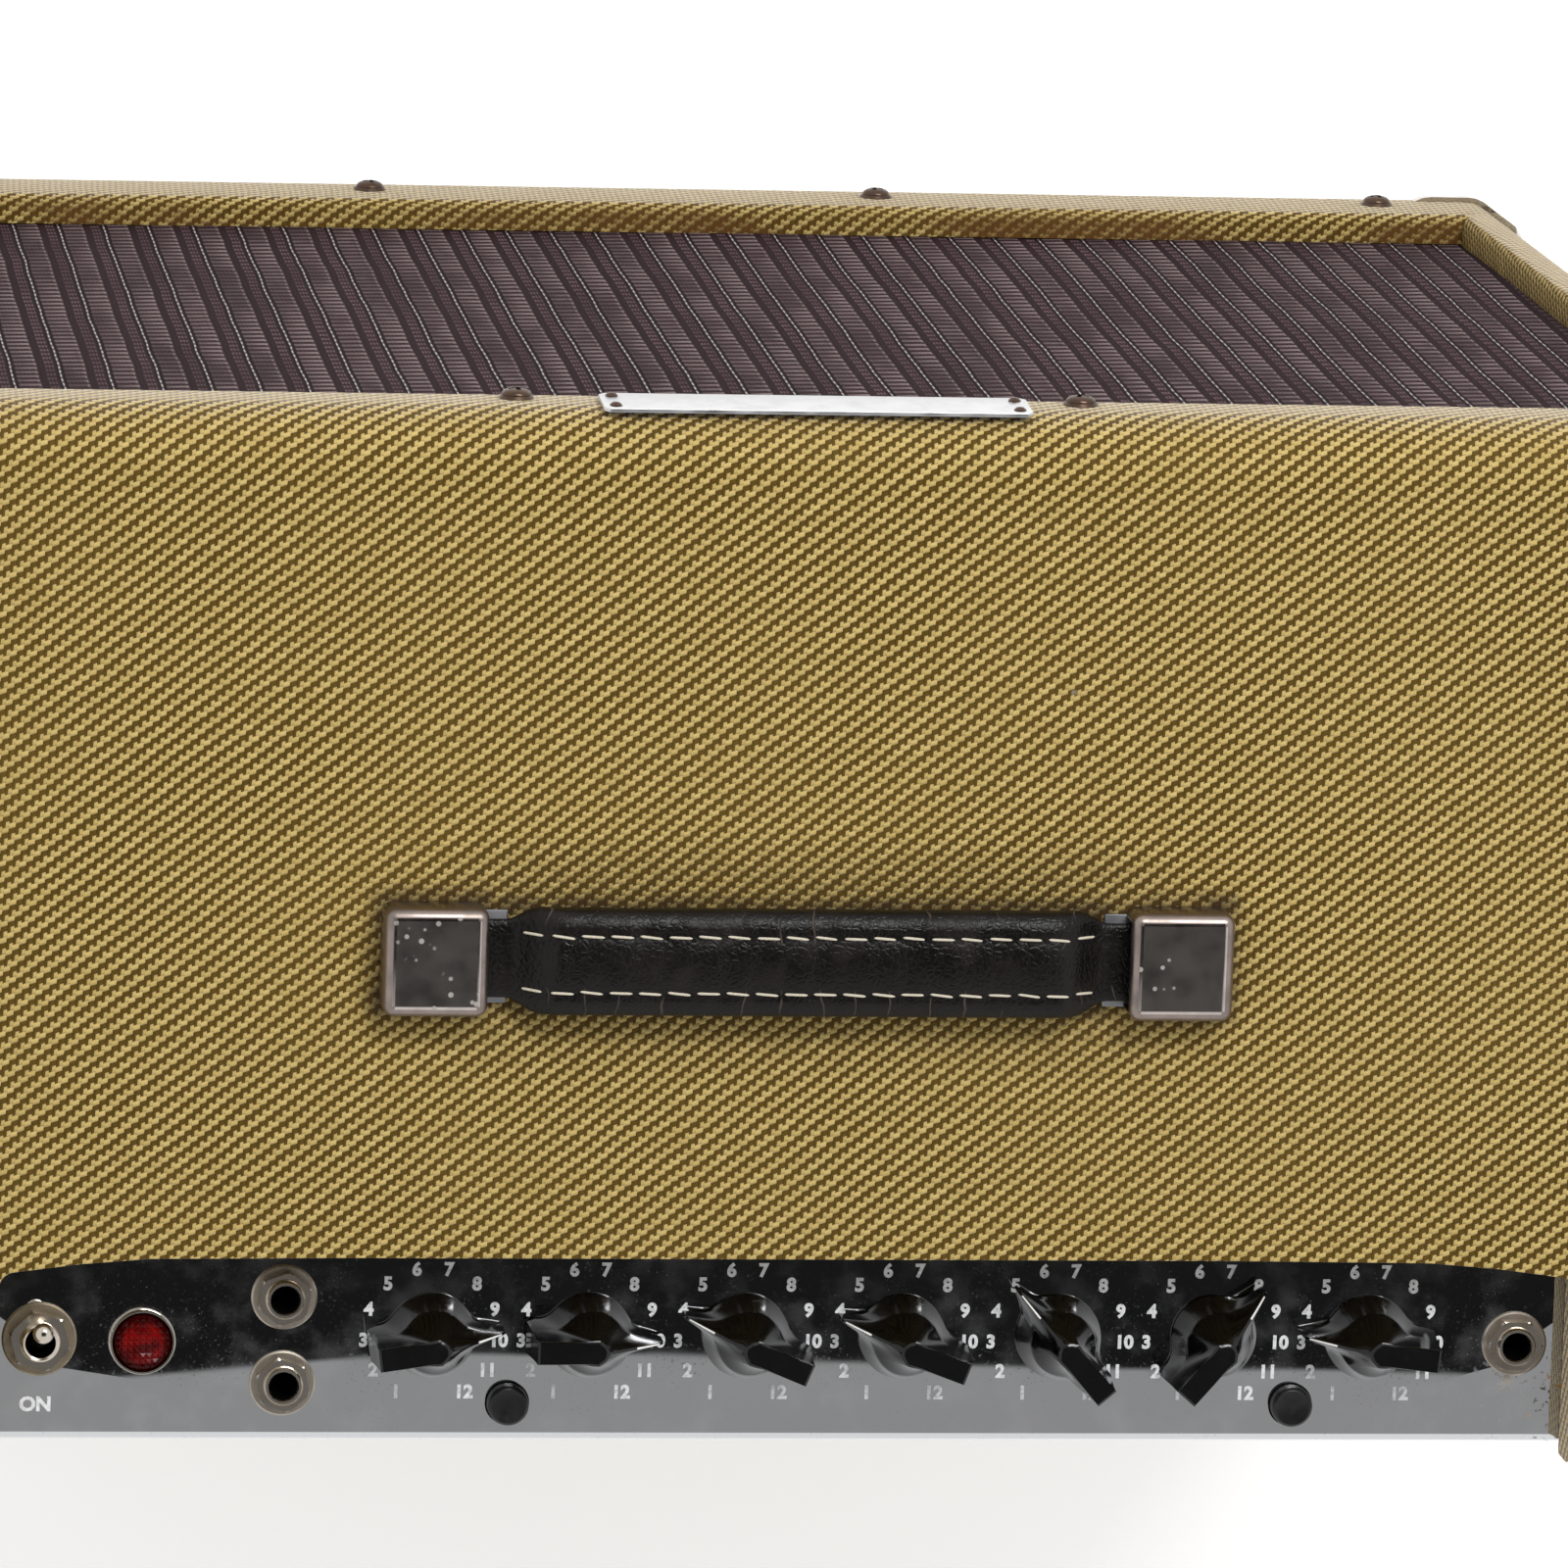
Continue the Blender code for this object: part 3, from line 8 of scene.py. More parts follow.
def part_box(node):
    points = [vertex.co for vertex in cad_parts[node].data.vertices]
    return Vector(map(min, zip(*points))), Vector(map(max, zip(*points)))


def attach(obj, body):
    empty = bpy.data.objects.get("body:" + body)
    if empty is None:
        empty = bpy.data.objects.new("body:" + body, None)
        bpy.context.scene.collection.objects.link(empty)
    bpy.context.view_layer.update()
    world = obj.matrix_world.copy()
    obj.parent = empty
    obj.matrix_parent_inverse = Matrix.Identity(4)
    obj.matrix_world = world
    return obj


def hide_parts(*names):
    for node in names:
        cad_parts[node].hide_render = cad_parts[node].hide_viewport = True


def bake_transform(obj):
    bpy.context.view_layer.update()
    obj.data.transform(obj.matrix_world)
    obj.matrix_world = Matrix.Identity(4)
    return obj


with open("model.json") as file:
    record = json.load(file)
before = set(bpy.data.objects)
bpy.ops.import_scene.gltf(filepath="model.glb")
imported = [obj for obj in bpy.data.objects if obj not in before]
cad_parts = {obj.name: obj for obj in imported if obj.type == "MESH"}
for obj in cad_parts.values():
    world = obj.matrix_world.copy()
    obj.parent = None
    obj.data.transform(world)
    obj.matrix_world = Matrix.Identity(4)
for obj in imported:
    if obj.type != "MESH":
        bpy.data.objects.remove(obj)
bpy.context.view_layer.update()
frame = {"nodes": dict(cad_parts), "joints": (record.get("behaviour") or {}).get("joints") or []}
print("frame loaded with", len(frame["nodes"]), "nodes")

# planes read from the frame
railLow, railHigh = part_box("front_rail_top")
floorLow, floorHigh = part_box("cabinet_bottom")
topLow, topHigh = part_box("cabinet_top")
panelLow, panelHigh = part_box("control_panel")
halfWidth = topHigh[0]
frontY = railLow[1]
rearY = topHigh[1]
topZ = topHigh[2]
bottomZ = floorLow[2]
innerX = railHigh[0]
panelZ = panelHigh[2]
panelRear = panelHigh[1]


def operator(operation, reflected=False):
    # a method that adds one maths node; reflected puts the wire second
    def apply(wire, other=0.0):
        pair = {0: other, 1: wire} if reflected else {0: wire, 1: other}
        return wire.look.add("ShaderNodeMath", {"operation": operation}, {**pair, 2: 0.0})
    return apply


class Wire:
    # a node output that takes part in sums
    def __init__(self, look, socket):
        self.look = look
        self.socket = socket

    __add__ = operator("ADD")
    __radd__ = operator("ADD", True)
    __sub__ = operator("SUBTRACT")
    __rsub__ = operator("SUBTRACT", True)
    __mul__ = operator("MULTIPLY")
    __rmul__ = operator("MULTIPLY", True)
    __truediv__ = operator("DIVIDE")
    __rtruediv__ = operator("DIVIDE", True)
    __pow__ = operator("POWER")
    __lt__ = operator("LESS_THAN")
    floor = operator("FLOOR")
    fract = operator("FRACT")
    sin = operator("SINE")
    abs = operator("ABSOLUTE")
    max = operator("MAXIMUM")
    min = operator("MINIMUM")

    def ease(self, low, high, outLow=0.0, outHigh=1.0):
        settings = {"interpolation_type": "SMOOTHSTEP", "clamp": True}
        values = dict(enumerate((self, low, high, outLow, outHigh)))
        return self.look.add("ShaderNodeMapRange", settings, values)


class Look:
    # a material being made; add() makes any node
    def __init__(self, name, **sockets):
        self.material = bpy.data.materials.new(name)
        self.material.use_nodes = True
        self.tree = self.material.node_tree
        self.shader = self.tree.nodes["Principled BSDF"]
        self.set(**sockets)

    def link(self, value, socket):
        if isinstance(value, Wire):
            self.tree.links.new(value.socket, socket)
        elif isinstance(value, (tuple, list)) and socket.type == "RGBA":
            socket.default_value = (*value[:3], 1.0)
        else:
            socket.default_value = value

    def add(self, kind, settings=None, inputs=None, out=0):
        node = self.tree.nodes.new(kind)
        for key, value in (settings or {}).items():
            if key == "stops":
                while len(node.color_ramp.elements) < len(value):
                    node.color_ramp.elements.new(1.0)
                for stop, (place, colour) in zip(node.color_ramp.elements, value):
                    stop.position = place
                    stop.color = (*colour, 1.0)
            else:
                setattr(node, key, value)
        for key, value in (inputs or {}).items():
            self.link(value, node.inputs[key])
        return Wire(self, node.outputs[out])

    def set(self, **sockets):
        for key, value in sockets.items():
            self.link(value, self.shader.inputs[key.replace("_", " ")])

    def coords(self, uv=False):
        if uv:
            place = self.add("ShaderNodeUVMap", {"uv_map": "weave"})
        else:
            place = self.add("ShaderNodeTexCoord", out="Object")
        return place, [self.add("ShaderNodeSeparateXYZ", None, {0: place}, out=k) for k in range(3)]

    def noise(self, place, scale, detail=3.0, rough=0.55, out=0):
        return self.add("ShaderNodeTexNoise", None,
                        {"Vector": place, "Scale": scale, "Detail": detail, "Roughness": rough}, out)

    def spots(self, place, scale, out="Distance"):
        return self.add("ShaderNodeTexVoronoi", None, {"Vector": place, "Scale": scale}, out)

    def mix(self, amount, first, second, blend="MIX"):
        return self.add("ShaderNodeMix", {"data_type": "RGBA", "blend_type": blend, "clamp_factor": True},
                        {0: amount, 6: first, 7: second}, out=2)

    def ramp(self, value, *stops):
        return self.add("ShaderNodeValToRGB", {"stops": stops}, {0: value})

    def stretch(self, place, scale):
        return self.add("ShaderNodeMapping", None, {"Vector": place, "Scale": scale})

    def bump(self, height, distance, strength=1.0):
        values = {"Height": height, "Distance": distance, "Strength": strength}
        self.set(Normal=self.add("ShaderNodeBump", None, values))


# two-tone twill over the boards: light weft floats over dark warp, stepping one warp each row
tweed = {"warpPitch": 0.001592, "weftPitch": 0.001332, "warpLean": -0.0604, "weftLean": 0.0226, "repeat": 3.0,
         "float": 1.54, "tilt": 0.42, "wander": 0.0009, "lightA": (0.53, 0.40, 0.152),
         "lightB": (0.405, 0.295, 0.098), "darkA": (0.056, 0.030, 0.0022), "darkB": (0.108, 0.062, 0.008),
         "cloud": (0.27, 0.17, 0.04), "sheenTint": (1.0, 0.95, 0.91), "relief": 0.00040}


def tweedLook(name, stainsAndShade=None, wearAndShade=None, sheen=0.64):
    look = Look(name, Roughness=0.75, Specular_IOR_Level=0.06, Sheen_Weight=sheen, Sheen_Roughness=0.35,
                Sheen_Tint=tweed["sheenTint"])
    cloth, _ = look.coords(uv=True)
    drift = look.noise(cloth, 70.0, 2.0, out=1)
    drift = look.add("ShaderNodeVectorMath", {"operation": "SUBTRACT"}, {0: drift, 1: (0.5, 0.5, 0.5)})
    drift = look.add("ShaderNodeVectorMath", {"operation": "SCALE"}, {0: drift, "Scale": tweed["wander"]})
    moved = look.add("ShaderNodeVectorMath", {"operation": "ADD"}, {0: cloth, 1: drift})
    u = look.add("ShaderNodeSeparateXYZ", None, {0: moved}, out=0)
    v = look.add("ShaderNodeSeparateXYZ", None, {0: moved}, out=1)
    across = (u + v * tweed["warpLean"]) / tweed["warpPitch"]
    along = (v + u * tweed["weftLean"]) / tweed["weftPitch"]
    along = along - (across.fract() - 0.5) * tweed["tilt"]
    row = along.floor()
    repeat, floatRun = tweed["repeat"], tweed["float"]
    step = ((across - row) / repeat).fract() * repeat
    isLight = step < floatRun
    weftRise = ((step * (math.pi / floatRun)).sin().max(0.0) ** 0.5) * (
        (along.fract() * math.pi).sin() ** 0.7)
    warpRise = (((step - floatRun) * (math.pi / (repeat - floatRun))).sin().max(0.0) ** 0.5) * (
        (across.fract() * math.pi).sin() ** 0.5)
    yarn = look.add("ShaderNodeCombineXYZ", None, {0: row, 1: ((across - row) / repeat).floor(), 2: 0.0})
    yarnTone = look.add("ShaderNodeTexWhiteNoise", {"noise_dimensions": "3D"}, {"Vector": yarn})
    fibre = look.noise(look.stretch(moved, (900.0, 2600.0, 1.0)), 1.0, 2.0)
    cloud = look.noise(cloth, 14.0, 3.0)
    light = look.mix(yarnTone * 0.6 + fibre * 0.4, tweed["lightB"], tweed["lightA"])
    dark = look.mix(fibre, tweed["darkA"], tweed["darkB"])
    colour = look.mix(isLight, dark, light)
    rise = warpRise * 0.8 + isLight * (weftRise * 1.15 - warpRise * 0.8)
    # painted shade: each yarn's colour darkens where it dips under its neighbours
    shade = rise.ease(0.0, 0.60, 0.66, 1.05)
    colour = look.mix(1.0, colour, look.ramp(shade, (0.0, (0, 0, 0)), (1.0, (1, 1, 1))), "MULTIPLY")
    colour = look.mix(cloud.ease(0.30, 0.72, 0.0, 0.10), colour, tweed["cloud"])
    if stainsAndShade:
        colour = stainsAndShade(look, colour)
    if wearAndShade:
        colour = wearAndShade(look, colour)
    look.set(Base_Color=colour, Coat_Weight=0.015, Coat_Roughness=0.4)
    look.bump(rise + fibre * 0.25, tweed["relief"], 0.8)
    return look.material


# dirt and painted shade on the cloth: tones, how far the handle's parts reach and where rubbing and painted
# shade start behind the front
clothDirtAndShade = {"handleDirtShadeTone": (0.030, 0.017, 0.008), "fleckTone": (0.55, 0.50, 0.38), "gripHalf": 0.0120,
        "capHalf": (0.0120, 0.0128), "railTone": (0.105, 0.043, 0.010), "railShadeTone": (0.020, 0.011, 0.004),
        "railRise": (0.008, 0.024), "innerShadeTone": (0.060, 0.030, 0.006), "innerEnd": 0.0115}


def outside(first, second):
    # distance from a rectangle, from how far a point is past each of its half sizes
    first, second = first.max(0.0), second.max(0.0)
    return (first * first + second * second) ** 0.5


def handleStains(look, colour):
    # dirt rubbed into the cloth round the handle's caps, with painted shade where they meet it, and a painted
    # shadow under its grip
    place, (x, y, _) = look.coords()
    rough = look.noise(place, 130.0, 4.0)
    fine = look.noise(place, 700.0, 2.0)
    capLow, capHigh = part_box("handle_cap_right")
    capX = (capLow[0] + capHigh[0]) / 2
    aside = (y - gripMidY).abs()
    byGrip = outside(x.abs() - gripHigh[0], aside - clothDirtAndShade["gripHalf"])
    byCap = outside((x.abs() - capX).abs() - clothDirtAndShade["capHalf"][0], aside - clothDirtAndShade["capHalf"][1])
    # dirt and painted shade round the foot of each cap
    capStainAndShade = byCap.ease(0.0005, 0.0060, 0.75, 0.0) * rough.ease(0.25, 0.62, 0.35, 1.0)
    # painted shadow on the cloth under the grip
    under = byGrip.ease(0.0005, 0.0050, 0.75, 0.0) * rough.ease(0.28, 0.60, 0.45, 1.0)
    smudge = byGrip.ease(0.004, 0.022, 0.30, 0.0) * fine.ease(0.35, 0.6, 0.2, 1.0)
    colour = look.mix(capStainAndShade.max(under).max(smudge), colour, clothDirtAndShade["handleDirtShadeTone"])
    # a few pale rubbed flecks and lint
    fleck = look.spots(place, 34.0).ease(0.015, 0.035, 0.7, 0.0) * look.noise(place, 22.0).ease(0.62, 0.68)
    return look.mix(fleck, colour, clothDirtAndShade["fleckTone"])


def railWear(look, colour):
    # browned and rubbed patches along the inner edge of the lower rail, and painted shade, darkest where it
    # meets the grille
    place, (_, y, z) = look.coords()
    patch = look.noise(look.stretch(place, (24.0, 60.0, 60.0)), 1.0, 4.0)
    thread = look.noise(place, 700.0, 2.0)
    inner = y.ease(frontY + 0.0005, frontY + 0.004, 0.2, 1.0)
    edge = z.ease(*(floorHigh[2] + rise for rise in clothDirtAndShade["railRise"])) * inner
    amount = edge * patch.ease(0.38, 0.62, 0.15, 0.86) * thread.ease(0.3, 0.6, 0.7, 1.0)
    colour = look.mix(amount, colour, clothDirtAndShade["railTone"])
    # painted shade deepening towards the grille
    behind = y.ease(frontY + 0.0065, frontY + clothDirtAndShade["innerEnd"], 0.0, 0.80)
    return look.mix(behind, colour, clothDirtAndShade["railShadeTone"])


def innerWear(look, colour):
    # painted shade on the cloth of the sides' inner faces, brown-toned and patchy, deepening towards the
    # grille
    place, (_, y, _) = look.coords()
    patch = look.noise(place, 90.0, 3.0)
    amount = y.ease(frontY + 0.002, frontY + clothDirtAndShade["innerEnd"], 0.25, 0.90) * patch.ease(0.3, 0.6, 0.55, 1.0)
    return look.mix(amount, colour, clothDirtAndShade["innerShadeTone"])


def woodLook(name, first, second, roughness):
    look = Look(name)
    place, _ = look.coords()
    grain = look.noise(look.stretch(place, (9.0, 9.0, 160.0)), 1.0, 5.0)
    fleck = look.noise(place, 420.0, 2.0)
    look.set(Base_Color=look.mix(grain, first, second),
             Roughness=fleck.ease(0.2, 0.8, roughness - 0.1, roughness + 0.1))
    look.bump(grain * 0.7 + fleck * 0.3, 0.0003, 0.5)
    return look.material


# grille cloth: a pale thread, a ladder of rungs, a plain strip and a strip of fine dots, over and over
grille = {"pitch": 0.0119, "lean": 0.024, "rung": 0.00645, "ground": (0.0135, 0.0070, 0.0082),
          "groundB": (0.034, 0.0185, 0.0205), "thread": (0.42, 0.39, 0.38), "rungTone": (0.165, 0.122, 0.124),
          "dotTone": (0.115, 0.072, 0.080), "shadow": (0.006, 0.0035, 0.0042)}


def grilleLook(name):
    look = Look(name, Roughness=0.9, Specular_IOR_Level=0.04)
    place, (x, _, z) = look.coords()

    def lines(middle, near, far):
        return (lane - middle).abs().ease(near, far, 1.0, 0.0)
    sway = look.noise(place, 26.0, 2.0) - 0.5
    strand = (z * grille["lean"] - x) / grille["pitch"] + sway * 0.10
    lane = strand.fract()
    laneTone = look.add("ShaderNodeTexWhiteNoise", {"noise_dimensions": "1D"}, {"W": strand.floor()})
    grain = look.noise(look.stretch(place, (1500.0, 1500.0, 300.0)), 1.0, 2.0)
    patchy = look.noise(look.stretch(place, (60.0, 60.0, 18.0)), 1.0, 3.0)
    rib = (lane * (2 * math.pi * 12)).sin() * 0.5 + 0.5
    beat = (z / grille["rung"] + (lane - 0.4) * 0.30 + sway * 0.25).fract()
    ladder = lines(0.37, 0.21, 0.24)
    rung = beat.ease(0.30, 0.44) * beat.ease(0.78, 0.92, 1.0, 0.0) * ladder
    rung = rung * patchy.ease(0.34, 0.62, 0.30, 1.0) * lane.ease(0.15, 0.56, 0.55, 1.0)
    tips = lines(0.575, 0.012, 0.035) * beat.ease(0.30, 0.44)
    plain = lines(0.68, 0.045, 0.075)
    dotBand = lines(0.865, 0.085, 0.10)
    dots = (((lane - 0.77) / 0.064).fract() * math.pi).sin() * (beat < 0.5)
    thread = lines(0.06, 0.008, 0.026) * (0.22 + (beat < 0.55) * 0.78)
    gap = lines(0.115, 0.012, 0.03) + lines(0.005, 0.012, 0.03)
    colour = look.mix(rib * 0.4 + laneTone * 0.2 + grain * 0.4, grille["ground"], grille["groundB"])
    colour = look.mix(rung, colour, grille["rungTone"])
    colour = look.mix(tips * 0.7, colour, grille["rungTone"])
    colour = look.mix(dotBand * dots * patchy.ease(0.35, 0.65, 0.5, 1.0), colour, grille["dotTone"])
    colour = look.mix(plain * 0.45, colour, grille["ground"])
    colour = look.mix(gap * 0.8, colour, grille["shadow"])
    colour = look.mix(thread * (0.6 + grain * 0.5), colour, grille["thread"])
    look.set(Base_Color=colour)
    look.bump(rib * 0.3 + rung * 0.6 + dotBand * dots * 0.4 + thread * 0.8 - gap * 0.6, 0.0004, 0.8)
    return look.material


# chrome with dust, fine scratches, a little ripple and pits near the input end
chrome = {"tone": (0.60, 0.605, 0.615), "dustTone": (0.36, 0.36, 0.36), "gritTone": (0.10, 0.095, 0.085),
          "pitTone": (0.035, 0.028, 0.020), "rustTone": (0.24, 0.135, 0.03), "dust": 0.11, "haze": 0.055,
          "pitsX": (-0.166, -0.190), "pitsY": (0.096, 0.112), "pitsDown": (0.012, 0.004)}


def panelLook(name):
    look = Look(name)
    place, (x, y, z) = look.coords()
    ripple = look.noise(place, 19.0, 1.0)
    film = look.noise(place, 55.0, 4.0)
    haze = look.noise(place, 95.0, 5.0).ease(0.44, 0.72)
    dust = look.noise(place, 1300.0, 3.0).ease(0.58, 0.74) * film.ease(0.42, 0.70, 0.25, 1.0)
    grit = look.spots(place, 900.0).ease(0.05, 0.16, 1.0, 0.0) * look.noise(place, 210.0).ease(0.58, 0.64)
    scratch = look.noise(look.stretch(place, (160.0, 4200.0, 1.0)), 1.0, 2.0).ease(0.79, 0.86)
    inputEnd = x.ease(*chrome["pitsX"]) * y.ease(*chrome["pitsY"]) * z.ease(
        *(panelZ - drop for drop in chrome["pitsDown"]))
    pit = look.noise(place, 640.0, 3.0).ease(0.58, 0.64) * inputEnd
    pit = pit * look.noise(place, 120.0).ease(0.42, 0.58)
    rust = look.noise(place, 260.0, 3.0).ease(0.62, 0.67) * inputEnd
    base = look.mix(dust * 0.5 + scratch * 0.3, chrome["tone"], chrome["dustTone"])
    base = look.mix(grit * 0.8, base, chrome["gritTone"])
    base = look.mix(pit, base, chrome["pitTone"])
    base = look.mix(rust, base, chrome["rustTone"])
    dull = dust * chrome["dust"] + haze * chrome["haze"] + grit * 0.6 + pit + rust
    look.set(Base_Color=base, Roughness=film.ease(0.3, 0.8, 0.004, 0.012) + dust * 0.04 + (pit + rust) * 0.4,
             Metallic=1.0 - dull.min(0.95))
    look.bump(ripple + scratch * 0.02 - pit * 0.05, 0.00002, 0.5)
    return look.material


speckTone = (0.34, 0.33, 0.29)


def metalLook(name, tone, dull, roughness, grime=0.3, speck=0.0):
    # plated metal, clouded with grime, with pale specks where speck is above 0
    look = Look(name)
    place, _ = look.coords()
    cloud = look.noise(place, 140.0, 4.0)
    brushed = look.noise(look.stretch(place, (2600.0, 160.0, 900.0)), 1.0, 2.0)
    spot = look.spots(place, 300.0).ease(0.12, 0.24, 1.0, 0.0)
    spot = spot * look.noise(place, 55.0).ease(0.50, 0.58) * speck
    colour = look.mix(cloud.ease(0.35, 0.75, 0.0, grime), tone, dull)
    colour = look.mix(spot, colour, speckTone)
    look.set(Base_Color=colour, Metallic=1.0 - spot * 0.7,
             Roughness=cloud.ease(0.2, 0.8, roughness * 0.75, roughness * 1.4) + spot * 0.3)
    look.bump(brushed * 0.15 + cloud + spot * 2.0, 0.000012, 0.5)
    return look.material


def plasticLook(name, tone, roughness, coat=0.0, specular=0.5):
    look = Look(name, Coat_Roughness=0.06, Specular_IOR_Level=specular)
    place, _ = look.coords()
    haze = look.noise(place, 240.0, 4.0)
    scuff = look.noise(look.stretch(place, (300.0, 2400.0, 300.0)), 1.0, 2.0).ease(0.66, 0.76)
    look.set(Base_Color=look.mix(haze.ease(0.4, 0.8, 0.0, 0.5), tone, tuple(v * 1.7 + 0.0015 for v in tone)),
             Roughness=haze.ease(0.3, 0.8, roughness, roughness * 1.6) + scuff * 0.15, Coat_Weight=coat)
    look.bump(haze + scuff * 0.3, 0.000004, 0.5)
    return look.material


def leatherLook(name):
    look = Look(name, Specular_IOR_Level=0.17, Coat_Roughness=0.25)
    place, (x, y, _) = look.coords()
    bent = look.noise(place, 180.0, 2.0, out=1)
    pebble = look.add("ShaderNodeTexVoronoi", {"feature": "DISTANCE_TO_EDGE"},
                      {"Vector": look.mix(0.0035, place, bent), "Scale": 620.0})
    fine = look.noise(place, 1800.0, 3.0)
    worn = look.noise(place, 90.0, 4.0)
    # short cracks from some of the stitches out to the edge
    gap = (x / 0.0091 + look.noise(place, 40.0) * 1.3).fract() - 0.5
    border = (y - gripMidY).abs().ease(handle["stitchRow"] - 0.0015, handle["stitchRow"] - 0.0005)
    crack = gap.abs().ease(0.012, 0.035, 1.0, 0.0) * border * look.noise(place, 70.0).ease(0.48, 0.56)
    tone = look.mix(worn.ease(0.45, 0.75), (0.0036, 0.0028, 0.0024), (0.0085, 0.0062, 0.0050))
    tone = look.mix(crack * 0.8, tone, (0.060, 0.046, 0.036))
    look.set(Base_Color=tone, Roughness=worn.ease(0.3, 0.7, 0.27, 0.42) + crack * 0.2, Coat_Weight=0.03)
    look.bump(pebble.ease(0.0, 0.25) * 0.55 + fine * 0.2 - crack * 2.0, 0.00022, 0.6)
    return look.material


def threadLook(name, tone):
    look = Look(name, Roughness=0.75)
    place, _ = look.coords()
    twist = look.noise(look.stretch(place, (1600.0, 900.0, 900.0)), 1.0, 2.0)
    look.set(Base_Color=look.mix(twist, tuple(v * 0.68 for v in tone), tone))
    look.bump(twist, 0.0001, 0.8)
    return look.material


def jewelLook(name):
    look = Look(name, Roughness=0.12, IOR=1.5, Specular_IOR_Level=0.07, Coat_Weight=0.04, Coat_Roughness=0.03)
    place, (x, y, _) = look.coords()
    depth = look.noise(place, 260.0, 2.0)
    middle = [(a + b) / 2 for a, b in zip(*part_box("pilot_lens"))]
    out = ((x - middle[0]) ** 2.0 + (y - middle[1]) ** 2.0) ** 0.5
    red = look.mix(depth.ease(0.3, 0.7), (0.046, 0.0006, 0.0007), (0.155, 0.0020, 0.0022))
    # painted shade: the red darkens towards the rim, where the bezel ring stands above the jewel
    look.set(Base_Color=look.mix(out.ease(0.0042, 0.0060), red, (0.026, 0.0004, 0.0005)))
    look.bump(depth, 0.00005, 0.3)
    return look.material


def markLook(name):
    # screened marks, a little worn
    look = Look(name, Roughness=0.55)
    place, _ = look.coords()
    rub = look.noise(place, 900.0, 3.0)
    look.set(Base_Color=look.mix(rub.ease(0.42, 0.70), (0.70, 0.71, 0.72), (0.48, 0.49, 0.50)))
    look.bump(rub, 0.00003, 0.4)
    return look.material


def rubberLook(name):
    look = Look(name)
    place, _ = look.coords()
    grain = look.noise(place, 900.0, 3.0)
    dust = look.noise(place, 110.0, 4.0)
    look.set(Base_Color=look.mix(dust.ease(0.45, 0.8, 0.0, 0.6), (0.012, 0.012, 0.012), (0.05, 0.047, 0.043)),
             Roughness=grain.ease(0.2, 0.8, 0.6, 0.85))
    look.bump(grain, 0.0001, 0.5)
    return look.material


def steelLook(name, tone, spangle):
    # zinc-coated sheet with its crystal pattern
    look = Look(name, Metallic=0.9)
    place, _ = look.coords()
    crystal = look.add("ShaderNodeTexVoronoi", None, {"Vector": place, "Scale": spangle}, "Color")
    shade = look.add("ShaderNodeSeparateColor", None, {0: crystal})
    smear = look.noise(place, 45.0, 4.0)
    look.set(Base_Color=look.mix(shade * 0.6 + smear * 0.4, tuple(v * 0.7 for v in tone), tone),
             Roughness=shade.ease(0.0, 1.0, 0.32, 0.5))
    look.bump(smear + shade * 0.2, 0.0001, 0.3)
    return look.material


def boardLook(name):
    # circuit board with copper runs under green lacquer
    look = Look(name, Roughness=0.4)
    place, _ = look.coords()
    bricks = {"Vector": place, "Scale": 90.0, "Mortar Size": 0.03}
    runs = look.add("ShaderNodeTexBrick", {"offset": 0.5}, bricks, "Fac")
    tint = look.noise(place, 60.0)
    green = look.mix(tint, (0.015, 0.07, 0.025), (0.03, 0.12, 0.045))
    look.set(Base_Color=look.mix(runs * 0.7, green, (0.10, 0.22, 0.07)))
    look.bump(runs, 0.00005, 0.4)
    return look.material


def ironLook(name):
    # black laminated iron: thin stacked sheets show as lines
    look = Look(name, Metallic=0.4)
    place, (_, y, _) = look.coords()
    sheets = ((y / 0.0007).fract() * math.pi).sin()
    rub = look.noise(place, 130.0, 4.0)
    look.set(Base_Color=look.mix(rub.ease(0.5, 0.8), (0.016, 0.016, 0.018), (0.09, 0.085, 0.08)),
             Roughness=rub.ease(0.2, 0.8, 0.42, 0.65))
    look.bump(sheets * 0.5 + rub * 0.4, 0.00012, 0.5)
    return look.material


def paperLook(name):
    look = Look(name, Roughness=0.9)
    place, _ = look.coords()
    pulp = look.noise(place, 800.0, 4.0)
    look.set(Base_Color=look.mix(pulp, (0.016, 0.015, 0.014), (0.045, 0.042, 0.039)))
    look.bump(pulp, 0.0002, 0.6)
    return look.material


def glassLook(name):
    look = Look(name, Transmission_Weight=1.0, IOR=1.45)
    place, _ = look.coords()
    smoke = look.noise(place, 90.0, 3.0)
    look.set(Base_Color=look.mix(smoke, (0.92, 0.95, 0.95), (0.80, 0.84, 0.84)),
             Roughness=smoke.ease(0.2, 0.8, 0.0, 0.04))
    return look.material


# strap handle: stitched leather grip held by two nickel caps
handle = {"width": 0.0258, "height": 0.0104, "tongue": 0.019, "tongueHeight": 0.0030, "stitchRow": 0.0068,
          "stitchPitch": 0.0070, "stitchLength": 0.0056, "stitchRadius": 0.00031, "stitches": 10,
          "groove": 0.0007, "grooveWide": 0.0011, "narrowRun": 0.0095, "fallRun": 0.013}
gripLow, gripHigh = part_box("handle_grip")
gripMidY = (gripLow[1] + gripHigh[1]) / 2

